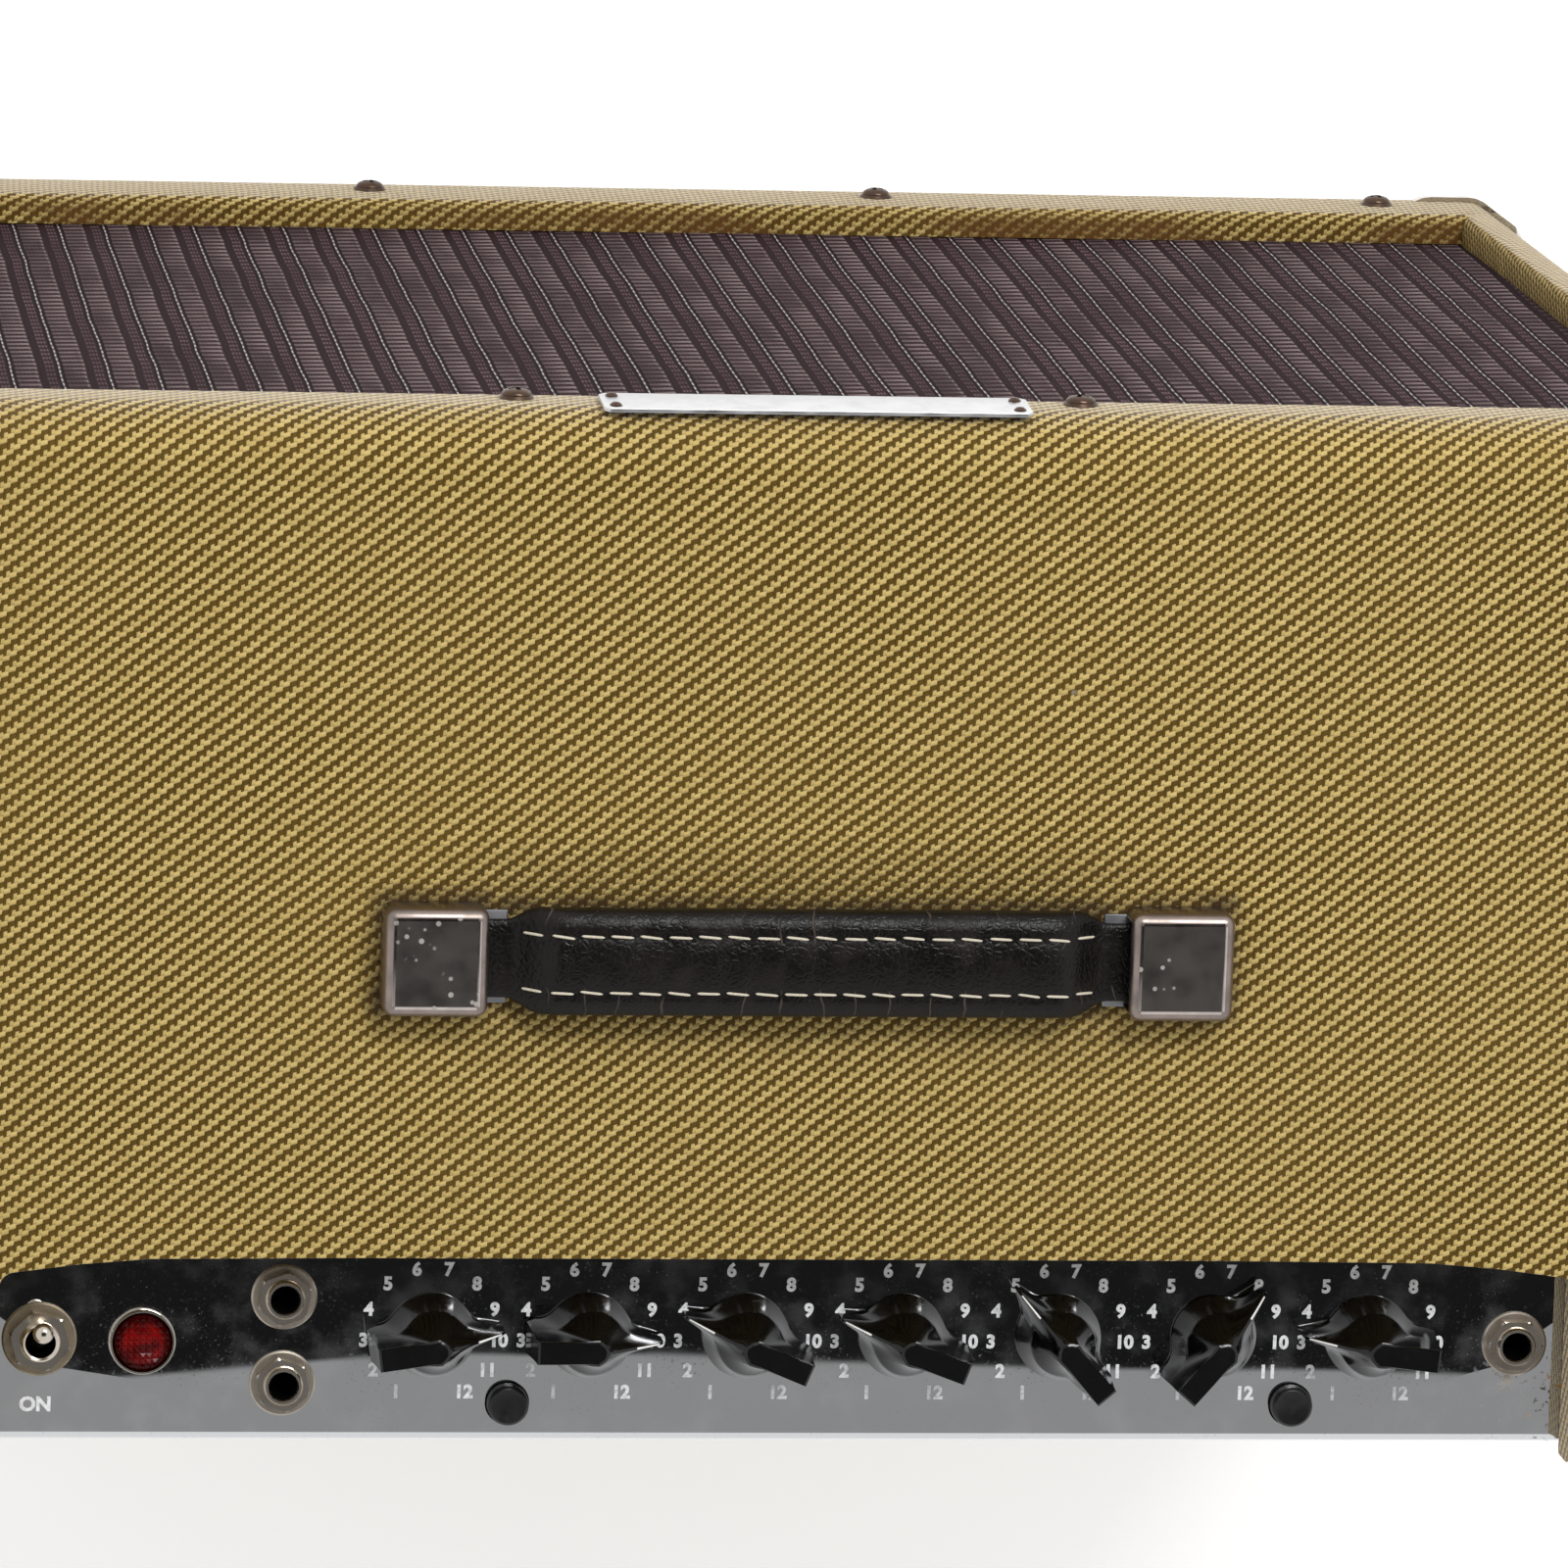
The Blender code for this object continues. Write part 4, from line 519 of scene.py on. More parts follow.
looks = {
    "tweed": tweedLook("tweed_cloth"),
    # the top's cloth: dirt and painted shade round the handle
    "tweedTop": tweedLook("tweed_cloth_top", stainsAndShade=handleStains),
    # the lower rail's cloth: stains, and painted shade where it meets the grille
    "tweedRail": tweedLook("tweed_cloth_rail", wearAndShade=railWear),
    # the sides' inner faces: painted shade towards the grille
    "tweedInner": tweedLook("tweed_cloth_inner", wearAndShade=innerWear, sheen=0.05),
    "darkWood": woodLook("inside_wood", (0.030, 0.021, 0.014), (0.075, 0.052, 0.034), 0.75),
    "ply": woodLook("baffle_ply", (0.20, 0.12, 0.06), (0.34, 0.22, 0.12), 0.7),
    "grille": grilleLook("grille_weave"),
    "panel": panelLook("panel_chrome"),
    "nickel": metalLook("nickel_plate", (0.56, 0.51, 0.44), (0.27, 0.22, 0.17), 0.17, 0.7),
    "cap": metalLook("cap_nickel", (0.52, 0.46, 0.43), (0.33, 0.295, 0.27), 0.15, 0.65, 1.0),
    # darker copy of the caps' nickel: painted shade for their sides and bevels
    "capShadedEdge": metalLook("cap_nickel_shaded_edge", (0.275, 0.225, 0.205), (0.17, 0.142, 0.125), 0.32, 0.8),
    "agedNickel": metalLook("aged_nickel", (0.40, 0.355, 0.30), (0.20, 0.17, 0.135), 0.40, 0.8),
    "corner": metalLook("corner_nickel", (0.56, 0.53, 0.50), (0.40, 0.37, 0.34), 0.15, 0.3),
    "plate": metalLook("name_plate_silver", (0.62, 0.62, 0.625), (0.50, 0.50, 0.505), 0.34, 0.5),
    "brassWasher": metalLook("aged_washer", (0.33, 0.28, 0.205), (0.17, 0.135, 0.09), 0.42, 0.8),
    "screw": metalLook("brown_screws", (0.085, 0.055, 0.040), (0.035, 0.022, 0.016), 0.34, 0.7),
    "knob": plasticLook("knob_black", (0.0010, 0.0010, 0.0011), 0.12, 0.0, 0.34),
    "button": plasticLook("button_black", (0.005, 0.005, 0.0055), 0.32, 0.05, 0.3),
    # near-black plastic for the switch and jack bodies, also painted shade in their bores
    "dark": plasticLook("socket_black_and_bore_shade", (0.0012, 0.0012, 0.0012), 0.8, specular=0.02),
    "basket": plasticLook("basket_paint", (0.020, 0.020, 0.022), 0.42),
    "leather": leatherLook("handle_leather"),
    "thread": threadLook("stitch_thread", (0.62, 0.56, 0.44)),
    "jewel": jewelLook("pilot_jewel"),
    "mark": markLook("panel_marks"),
    "pointer": plasticLook("pointer_white", (0.66, 0.65, 0.62), 0.4),
    "rubber": rubberLook("foot_rubber"),
    "steel": steelLook("zinc_sheet", (0.55, 0.55, 0.56), 110.0),
    "board": boardLook("circuit_green"),
    "iron": ironLook("black_iron"),
    "paper": paperLook("cone_paper"),
    "glass": glassLook("valve_glass"),
    "electrode": metalLook("valve_plates", (0.20, 0.20, 0.21), (0.10, 0.10, 0.105), 0.45, 0.5),
}
print("finishes made:", len(looks))


weldDistance = 0.000002
sides = (("left", -1), ("right", 1))


def quarter(steps):
    # angles from none to a right angle
    return [math.pi / 2 * k / steps for k in range(steps + 1)]


def joinRings(bm, rings, finish=0):
    # four-sided faces between rings of equal count
    count = len(rings[0])
    for first, second in zip(rings, rings[1:]):
        for k in range(count):
            n = (k + 1) % count
            bm.faces.new((first[k], first[n], second[n], second[k])).material_index = finish


def turnTo(direction):
    return Vector((0, 0, 1)).rotation_difference(Vector(direction)).to_matrix().to_4x4()


def spin(bm, profile, steps, place, finish=0):
    # closed turned skin from (radius, height) points, top first
    rings = []
    for radius, height in profile:
        if radius < 1e-7:
            rings.append([bm.verts.new(place @ Vector((0, 0, height)))])
        else:
            turns = [2 * math.pi * k / steps for k in range(steps)]
            rings.append([bm.verts.new(place @ Vector((radius * math.cos(a), radius * math.sin(a), height)))
                          for a in turns])
    pairs = list(zip(rings, rings[1:]))
    if profile[0][0] > 1e-7:
        pairs.append((rings[-1], rings[0]))
    for upper, lower in pairs:
        for k in range(steps):
            n = (k + 1) % steps
            if len(upper) == 1 and len(lower) == 1:
                continue
            if len(upper) == 1:
                ends = (upper[0], lower[k], lower[n])
            elif len(lower) == 1:
                ends = (upper[k], lower[0], upper[n])
            else:
                ends = (upper[k], lower[k], lower[n], upper[n])
            bm.faces.new(ends).material_index = finish


def roundBox(bm, low, high, radius, segments, finish=0, place=None):
    middle = [(a + b) / 2 for a, b in zip(low, high)]
    size = [b - a for a, b in zip(low, high)]
    matrix = Matrix.Translation(middle) @ Matrix.Diagonal((*size, 1.0))
    made = bmesh.ops.create_cube(bm, size=1.0, matrix=matrix)
    edges = list({edge for vert in made["verts"] for edge in vert.link_edges})
    faces = set(face for vert in made["verts"] for face in vert.link_faces)
    if radius > 0:
        done = bmesh.ops.bevel(bm, geom=edges, offset=radius, segments=segments, profile=0.5, affect="EDGES")
        faces |= set(done["faces"])
        faces = {face for face in faces if face.is_valid}
        flats = sorted(faces, key=lambda face: -face.calc_area())[:6]
        done = bmesh.ops.inset_individual(bm, faces=flats, thickness=min(radius * 0.15, 0.0003))
        faces |= set(done["faces"])
    verts = set()
    for face in faces:
        if face.is_valid:
            face.material_index = finish
            verts |= set(face.verts)
    if place:
        bmesh.ops.transform(bm, matrix=place, verts=list(verts))


nut = {"steps": 48, "chamfer": 0.25, "turned": 0.935}


def hexNut(bm, flats, hole, low, high, place, finish=0):
    # six flats round a hole, with turned-down corners on the upper face
    chamfer = (high - low) * nut["chamfer"]
    corner = flats / math.sqrt(3)
    section = ((hole, low), (corner, low), (corner, high - chamfer), (corner * nut["turned"], high),
               (hole, high))
    rings = []
    for radius, height in section:
        ring = []
        for k in range(nut["steps"]):
            angle = 2 * math.pi * k / nut["steps"]
            side = (angle + math.pi / 6) % (math.pi / 3) - math.pi / 6
            reach = min(radius, flats / 2 / math.cos(side))
            point = Vector((reach * math.cos(angle), reach * math.sin(angle), height))
            ring.append(bm.verts.new(place @ point))
        rings.append(ring)
    joinRings(bm, rings + rings[:1], finish)


def weaveMap(bm, rule):
    layer = bm.loops.layers.uv.new("weave")
    for face in bm.faces:
        for loop in face.loops:
            loop[layer].uv = rule(face, loop.vert.co)


def settle(bm, name, finishes, body="cabinet", nodes=(), sharp=38.0, uv=None, recalc=True,
           flatArea=1.0):
    # bmesh to a finished piece that rides on a body
    if recalc:
        bmesh.ops.remove_doubles(bm, verts=bm.verts, dist=weldDistance)
        bmesh.ops.recalc_face_normals(bm, faces=bm.faces)
    if uv:
        weaveMap(bm, uv)
    limit = math.radians(sharp)
    for edge in bm.edges:
        edge.smooth = len(edge.link_faces) == 2 and edge.calc_face_angle(0.0) < limit
    for face in bm.faces:
        face.smooth = face.calc_area() < flatArea
    mesh = bpy.data.meshes.new(name)
    bm.to_mesh(mesh)
    bm.free()
    piece = bpy.data.objects.new(name, mesh)
    bpy.context.scene.collection.objects.link(piece)
    for finish in finishes:
        mesh.materials.append(looks[finish])
    if body:
        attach(piece, body)
    if nodes:
        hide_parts(*nodes)
    return piece


def carve(bm, cutter):
    # cutter taken out of bm, through throw-away objects
    pair = []
    for part in (bm, cutter):
        bmesh.ops.recalc_face_normals(part, faces=part.faces)
        mesh = bpy.data.meshes.new("carve")
        part.to_mesh(mesh)
        item = bpy.data.objects.new("carve", mesh)
        bpy.context.scene.collection.objects.link(item)
        pair.append(item)
    change = pair[0].modifiers.new("cut", "BOOLEAN")
    change.operation = "DIFFERENCE"
    change.solver = "EXACT"
    change.object = pair[1]
    bpy.context.view_layer.update()
    result = bpy.data.meshes.new_from_object(pair[0].evaluated_get(bpy.context.evaluated_depsgraph_get()))
    out = bmesh.new()
    out.from_mesh(result)
    for item in pair:
        bpy.data.objects.remove(item, do_unlink=True)
    bpy.data.meshes.remove(result)
    bm.free()
    cutter.free()
    return out


def arcPoints(centre, radius, startDeg, endDeg, steps):
    points = []
    for k in range(steps + 1):
        angle = math.radians(startDeg + (endDeg - startDeg) * k / steps)
        points.append((centre[0] + radius * math.cos(angle), centre[1] + radius * math.sin(angle)))
    return points


# cabinet covering: each board wrapped in cloth, inner faces bare dark wood
cabinet = {"topRound": 0.016, "edgeRound": 0.008, "lipRound": 0.003, "backRound": 0.004, "innerRound": 0.002,
           "sideGap": 0.0003, "cutoutHalf": 0.191, "cutoutDepth": 0.0505, "cutoutEase": 0.0038,
           "cutoutRound": 0.0032, "cutoutCorner": 0.004, "cutoutMiddle": 0.06, "cutoutStraight": 0.155,
           "cutoutBend": ((-0.05, 0.0), (0.0, 0.0004), (0.017, 0.0018)), "tuckWide": 0.0060, "liner": 0.0010}
# how far a face turns before its cloth runs another way or its finish changes
facing = {"side": 0.75, "slope": 0.6, "under": -0.7, "back": 0.9}


def sweepBoard(outline, endRound, outerUp):
    # outline of (y, z) points run across the cabinet, its outer faces drawn in at both ends by endRound
    bm = bmesh.new()
    count = len(outline)
    pulls = []
    for k in range(count):
        run = (Vector(outline[(k + 1) % count]) - Vector(outline[k - 1])).normalized()
        across, upward = run.y, -run.x
        pulls.append(Vector((min(across, 0.0), upward if upward * outerUp > 0 else 0.0)))
    stations = [(halfWidth - endRound + endRound * math.sin(a), endRound * (1 - math.cos(a)))
                for a in quarter(6)]
    stations = [(-x, d) for x, d in reversed(stations)] + stations
    rings = []
    for x, inset in stations:
        rings.append([bm.verts.new((x, *(Vector(p) - n * inset))) for p, n in zip(outline, pulls)])
    joinRings(bm, rings)
    bm.faces.new(rings[0])
    bm.faces.new(list(reversed(rings[-1])))
    bmesh.ops.recalc_face_normals(bm, faces=bm.faces)
    return bm


def clothRule(face, co):
    # cloth unrolled from the top over the front edge and down the rail
    normal = face.normal
    radius = cabinet["topRound"]
    if abs(normal.x) > facing["side"]:
        return (co.y, -co.z)
    if normal.y > facing["slope"]:
        return (co.x, co.y + topZ - co.z)
    startY = frontY + radius
    startZ = topZ - radius
    if co.y >= startY and co.z > startZ:
        return (co.x, co.y)
    if co.z >= startZ:
        return (co.x, startY - radius * math.atan2(startY - co.y, max(co.z - startZ, 1e-9)))
    down = startY - radius * math.pi / 2 - (startZ - co.z)
    if normal.z < -facing["slope"] and co.y < frontY + 0.02:
        return (co.x, down - (co.y - frontY))
    return (co.x, down)


def cutoutOutline():
    side = cabinet["cutoutHalf"]
    radius = cabinet["cutoutCorner"]
    startY = rearY - cabinet["cutoutDepth"]
    eased = startY + cabinet["cutoutEase"]
    right = [(cabinet["cutoutMiddle"], startY)]
    right += [(cabinet["cutoutStraight"] + run, startY + drop) for run, drop in cabinet["cutoutBend"]]
    right += arcPoints((side - radius, eased + radius), radius, -85, 0, 5)
    right.append((side, rearY + 0.02))
    return right + [(-x, y) for x, y in reversed(right)]


def prism(outline, low, high):
    bm = bmesh.new()
    lower = [bm.verts.new((x, y, low)) for x, y in outline]
    upper = [bm.verts.new((x, y, high)) for x, y in outline]
    joinRings(bm, [lower, upper])
    bm.faces.new(lower)
    bm.faces.new(upper)
    bmesh.ops.recalc_face_normals(bm, faces=bm.faces)
    return bm


def woodInside(bm, test):
    for face in bm.faces:
        face.material_index = 1 if test(face) else 0


def bareBehind(face, clothY, under):
    # wood behind the rail: the board's inner face and the rail's own back
    middleY = face.calc_center_median().y
    inner = face.normal.z * under < facing["under"] and middleY > clothY
    return inner or face.normal.y > facing["back"] and middleY < clothY + 0.002


def makeTopCover():
    railZ = railLow[2]
    lip = cabinet["lipRound"]
    radius = cabinet["topRound"]
    back = cabinet["backRound"]
    clothY = railHigh[1]
    outline = arcPoints((rearY - back, topZ - back), back, 0, 90, 4)
    outline += arcPoints((frontY + radius, topZ - radius), radius, 90, 180, 14)
    outline += arcPoints((frontY + lip, railZ + lip), lip, 180, 270, 5)
    outline += [(clothY, railZ), (clothY, topLow[2]), (rearY, topLow[2])]
    bm = sweepBoard(outline, cabinet["edgeRound"], 1)
    bm = carve(bm, prism(cutoutOutline(), topZ - 0.03, topZ + 0.01))
    startY = rearY - cabinet["cutoutDepth"]
    rim = []
    for edge in bm.edges:
        a, b = (vert.co for vert in edge.verts)
        flat = abs(a.z - topZ) < 1e-5 and abs(b.z - topZ) < 1e-5
        inside = all(abs(p.x) < cabinet["cutoutHalf"] + 1e-4 and p.y > startY - 1e-4 for p in (a, b))
        if flat and inside and len(edge.link_faces) == 2 and edge.calc_face_angle(0.0) > 0.6:
            rim.append(edge)
    bmesh.ops.bevel(bm, geom=rim, offset=cabinet["cutoutRound"], segments=4, profile=0.5, affect="EDGES",
                    clamp_overlap=True)
    bm.normal_update()
    woodInside(bm, lambda face: bareBehind(face, clothY, 1))
    settle(bm, "tweed_top", ["tweedTop", "darkWood"], nodes=("cabinet_top", "front_rail_top"),
           uv=clothRule, recalc=False)


def makeBottomCover():
    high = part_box("front_rail_bottom")[1]
    lip = cabinet["lipRound"]
    edge = cabinet["edgeRound"]
    back = cabinet["backRound"]
    outline = arcPoints((rearY - back, bottomZ + back), back, 0, -90, 4)
    outline += arcPoints((frontY + edge, bottomZ + edge), edge, -90, -180, 8)
    outline += arcPoints((frontY + lip, high[2] - lip), lip, 180, 90, 5)
    outline += [(high[1], high[2]), (high[1], floorHigh[2]), (rearY, floorHigh[2])]
    outline.reverse()
    bm = sweepBoard(outline, edge, -1)
    woodInside(bm, lambda face: bareBehind(face, high[1], -1))

    def rule(face, co):
        if abs(face.normal.x) > facing["side"]:
            return (co.y, -co.z)
        if face.normal.z > facing["slope"]:
            return (co.x, co.z + (co.y - frontY))
        if abs(face.normal.z) > facing["side"]:
            return (co.x, bottomZ - (co.y - frontY))
        return (co.x, co.z)
    settle(bm, "tweed_bottom", ["tweedRail", "darkWood"], nodes=("cabinet_bottom", "front_rail_bottom"),
           uv=rule, recalc=False)


def makeSideCovers():
    gap, edge, lip = cabinet["sideGap"], cabinet["edgeRound"], cabinet["lipRound"]
    back, innerBack = cabinet["backRound"], cabinet["innerRound"]
    inner, outer = innerX + gap, halfWidth
    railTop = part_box("front_rail_bottom")[1][2]
    for side, sign in sides:
        low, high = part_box(f"cabinet_{side}_side")
        outline = arcPoints((outer - edge, frontY + edge), edge, -90, 0, 8)
        outline += arcPoints((outer - back, rearY - back), back, 0, 90, 4)
        outline += arcPoints((inner + innerBack, rearY - innerBack), innerBack, 90, 180, 3)
        outline += arcPoints((inner + lip, frontY + lip), lip, 180, 270, 5)
        if sign < 0:
            outline = [(-x, y) for x, y in reversed(outline)]
        bm = prism(outline, low[2] - gap, high[2] + gap)
        # the front corners belong to the rails
        for start, end in ((low[2] - 0.01, railTop - lip), (railLow[2] + lip, high[2] + 0.01)):
            cutter = bmesh.new()
            roundBox(cutter, (-0.3, frontY - 0.01, start), (0.3, railHigh[1], end), 0.0, 1)
            bm = carve(bm, cutter)

        def rule(face, co):
            if abs(face.normal.x) > facing["slope"]:
                return (co.y * sign, -co.z)
            return (co.x, -co.z)
        for face in bm.faces:
            face.material_index = int(face.normal.x * sign < -facing["slope"])
        settle(bm, f"tweed_{side}_side", ["tweed", "tweedInner"], nodes=(f"cabinet_{side}_side",),
               uv=rule, recalc=False)
        # cloth tucked in where the top's front edge meets the side
        bm = bmesh.new()
        ends = sorted((sign * (outer - cabinet["tuckWide"]), sign * (outer - gap)))
        roundBox(bm, (ends[0], frontY + edge + 0.0005, railLow[2] + lip),
                 (ends[1], railHigh[1] + 0.003, topLow[2] + 0.002), 0.0, 1)
        settle(bm, f"tweed_tuck_{side}", ["tweed"], uv=rule)
        # bare inner face behind the grille
        bm = bmesh.new()
        liner = sorted((sign * (inner - 0.0002), sign * (inner - cabinet["liner"])))
        roundBox(bm, (liner[0], railHigh[1] + 0.018, low[2]),
                 (liner[1], rearY - 0.006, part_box("chassis")[0][2] - 0.004), 0.0002, 1)
        settle(bm, f"inside_{side}_side", ["darkWood"])


# back panels, the upper one with a row of vents
backs = {"round": 0.0022, "vents": 7, "ventPitch": 0.052, "ventHalf": 0.018, "ventTall": 0.010,
         "ventRound": 0.0045}


def makeBackPanels():
    for name in ("upper_back_panel", "lower_back_panel"):
        low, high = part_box(name)
        bm = bmesh.new()
        roundBox(bm, low, high, backs["round"], 4)
        if name.startswith("upper"):
            cutter = bmesh.new()
            middle = (low[2] + high[2]) / 2
            half, tall = backs["ventHalf"], backs["ventTall"] / 2
            for k in range(backs["vents"]):
                x = (k - backs["vents"] // 2) * backs["ventPitch"]
                roundBox(cutter, (x - half, low[1] - 0.01, middle - tall),
                         (x + half, high[1] + 0.01, middle + tall), backs["ventRound"], 4)
            bm = carve(bm, cutter)
        woodInside(bm, lambda face: face.normal.y < -facing["back"])

        def rule(face, co):
            if abs(face.normal.z) > facing["side"]:
                return (co.x, co.y)
            if abs(face.normal.x) > facing["side"]:
                return (co.y, co.z)
            return (co.x, co.z)
        settle(bm, "tweed_" + name, ["tweed", "darkWood"], nodes=(name,), uv=rule)


# grille sheet: tucked behind the rails, pulled a little out of flat
stretched = {"tuck": 0.004, "cols": 90, "rows": 70, "proud": 0.0002, "pull": 0.0002, "waveX": 47.0,
             "waveZ": 39.0}


def makeGrille():
    low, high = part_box("grille_cloth")
    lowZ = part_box("front_rail_bottom")[1][2] - stretched["tuck"]
    highZ = railLow[2] + stretched["tuck"]
    bm = bmesh.new()
    cols, rows = stretched["cols"], stretched["rows"]
    grid = []
    for j in range(rows + 1):
        line = []
        for i in range(cols + 1):
            x = low[0] + (high[0] - low[0]) * i / cols
            z = lowZ + (highZ - lowZ) * j / rows
            pull = stretched["pull"] * math.sin(x * stretched["waveX"]) * math.sin(z * stretched["waveZ"])
            line.append(bm.verts.new((x, low[1] - stretched["proud"] + pull, z)))
        grid.append(line)
    for j in range(rows):
        for i in range(cols):
            bm.faces.new((grid[j][i], grid[j][i + 1], grid[j + 1][i + 1], grid[j + 1][i]))
    piece = settle(bm, "grille_weave", ["grille"], nodes=("grille_cloth",),
                   recalc=False)


makeTopCover()
makeBottomCover()
makeSideCovers()
makeBackPanels()
makeGrille()
print("cabinet covered")


def copiesTree():
    # points with a turn each become copies of one mesh
    tree = bpy.data.node_groups.new("placeCopies", "GeometryNodeTree")
    for name, way, kind in (("Places", "INPUT", "Geometry"), ("Copy", "INPUT", "Object"),
                            ("Size", "INPUT", "Float"), ("Finish", "INPUT", "Material"),
                            ("Made", "OUTPUT", "Geometry")):
        tree.interface.new_socket(name, in_out=way, socket_type="NodeSocket" + kind)
    source = tree.nodes.new("NodeGroupInput")
    result = tree.nodes.new("NodeGroupOutput")
    item = tree.nodes.new("GeometryNodeObjectInfo")
    turn = tree.nodes.new("GeometryNodeInputNamedAttribute")
    turn.data_type = "FLOAT_VECTOR"
    turn.inputs["Name"].default_value = "turn"
    euler = tree.nodes.new("FunctionNodeEulerToRotation")
    placed = tree.nodes.new("GeometryNodeInstanceOnPoints")
    real = tree.nodes.new("GeometryNodeRealizeInstances")
    paint = tree.nodes.new("GeometryNodeSetMaterial")
    wires = ((source, "Places", placed, "Points"), (source, "Copy", item, "Object"),
             (item, "Geometry", placed, "Instance"), (turn, "Attribute", euler, "Euler"),
             (euler, "Rotation", placed, "Rotation"), (source, "Size", placed, "Scale"),
             (placed, "Instances", real, "Geometry"), (real, "Geometry", paint, "Geometry"),
             (source, "Finish", paint, "Material"), (paint, "Geometry", result, "Made"))
    for start, output, end, socket in wires:
        tree.links.new(start.outputs[output], end.inputs[socket])
    return tree


placeCopies = copiesTree()


def scatter(name, source, places, finish, body="cabinet", size=1.0, ride=True):
    # places: (point, direction the copy's Z points, roll about it)
    mesh = bpy.data.meshes.new(name)
    mesh.from_pydata([tuple(point) for point, _, _ in places], [], [])
    turns = mesh.attributes.new("turn", "FLOAT_VECTOR", "POINT")
    for k, (_, direction, roll) in enumerate(places):
        matrix = turnTo(direction) @ Matrix.Rotation(roll, 4, "Z")
        turns.data[k].vector = matrix.to_euler()
    holder = bpy.data.objects.new(name + "_places", mesh)
    bpy.context.scene.collection.objects.link(holder)
    change = holder.modifiers.new("copies", "NODES")
    change.node_group = placeCopies
    sockets = {item.name: item.identifier for item in placeCopies.interface.items_tree}
    change[sockets["Copy"]] = source
    change[sockets["Size"]] = size
    change[sockets["Finish"]] = looks[finish]
    bpy.context.view_layer.update()
    made = bpy.data.meshes.new_from_object(holder.evaluated_get(bpy.context.evaluated_depsgraph_get()))
    bpy.data.objects.remove(holder, do_unlink=True)
    bpy.data.objects.remove(source, do_unlink=True)
    piece = bpy.data.objects.new(name, made)
    bpy.context.scene.collection.objects.link(piece)
    if ride:
        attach(piece, body)
    return piece


def sourceMesh(bm, name):
    bmesh.ops.remove_doubles(bm, verts=bm.verts, dist=weldDistance)
    bmesh.ops.recalc_face_normals(bm, faces=bm.faces)
    for edge in bm.edges:
        edge.smooth = len(edge.link_faces) == 2 and edge.calc_face_angle(0.0) < math.radians(40)
    for face in bm.faces:
        face.smooth = True
    mesh = bpy.data.meshes.new(name)
    bm.to_mesh(mesh)
    bm.free()
    item = bpy.data.objects.new(name, mesh)
    bpy.context.scene.collection.objects.link(item)
    return item


# domed screws in cup washers, in rows on the front rails and the back panels
screws = {"headRadius": 0.0036, "headHeight": 0.0025, "cupRadius": 0.0043, "cupHeight": 0.0008,
          "slot": 0.0011, "steps": 20, "proud": 0.0001, "frontDrops": (0.024, 0.382), "frontShift": 0.0027,
          "frontX": (-0.204, -0.068, 0.068, 0.204), "backX": (-0.208, -0.07, 0.07, 0.208),
          "upper_back_panel": 0.012, "lower_back_panel": 0.014}


def screwSource():
    # domed head with a cross slot
    bm = bmesh.new()
    head, rise, slot = screws["headRadius"], screws["headHeight"], screws["slot"] / 2
    dome = [(head * math.sin(a), rise * 0.35 + rise * 0.65 * math.cos(a)) for a in quarter(6)]
    dome[0] = (0.0, rise)
    spin(bm, dome + [(head, 0.0), (0.0, 0.0)], screws["steps"], Matrix())
    for turn in (0, math.pi / 2):
        cutter = bmesh.new()
        roundBox(cutter, (-head * 0.55, -slot, rise * 0.62), (head * 0.55, slot, rise * 1.4), 0.0, 1,
                 place=Matrix.Rotation(turn, 4, "Z"))
        bm = carve(bm, cutter)
    cup, lip = screws["cupRadius"], screws["cupHeight"]
    spin(bm, [(head * 0.98, lip), (cup * 0.9, lip * 0.9), (cup, 0.0), (head * 0.98, 0.0)], screws["steps"],
         Matrix())
    return sourceMesh(bm, "screw")


def makeScrews():
    places = []
    for drop in screws["frontDrops"]:
        for k, x in enumerate(screws["frontX"]):
            point = (x + screws["frontShift"], frontY - screws["proud"], topZ - drop)
            places.append((point, (0, -1, 0), 0.4 + k * 0.7))
    scatter("front_screws", screwSource(), places, "screw")
    places = []
    for name in ("upper_back_panel", "lower_back_panel"):
        low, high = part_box(name)
        for z in (low[2] + screws[name], high[2] - screws[name]):
            for k, x in enumerate(screws["backX"]):
                # the upper panel has no screws in the middle
                if abs(x) > 0.1 or name.startswith("lower"):
                    places.append(((x, high[1] + screws["proud"], z), (0, 1, 0), 0.3 + k * 0.9))
    scatter("back_screws", screwSource(), places, "screw")


# blank plate on the top front edge, with a rivet near each corner
plate = {"tall": 0.0155, "thick": 0.0010, "nick": 0.0014, "rimRound": 0.0003, "rivetInset": 0.0030,
         "rivet": ((0.0, 0.0009), (0.0009, 0.0007), (0.0015, 0.0002), (0.0015, -0.0002), (0.0, -0.0002))}


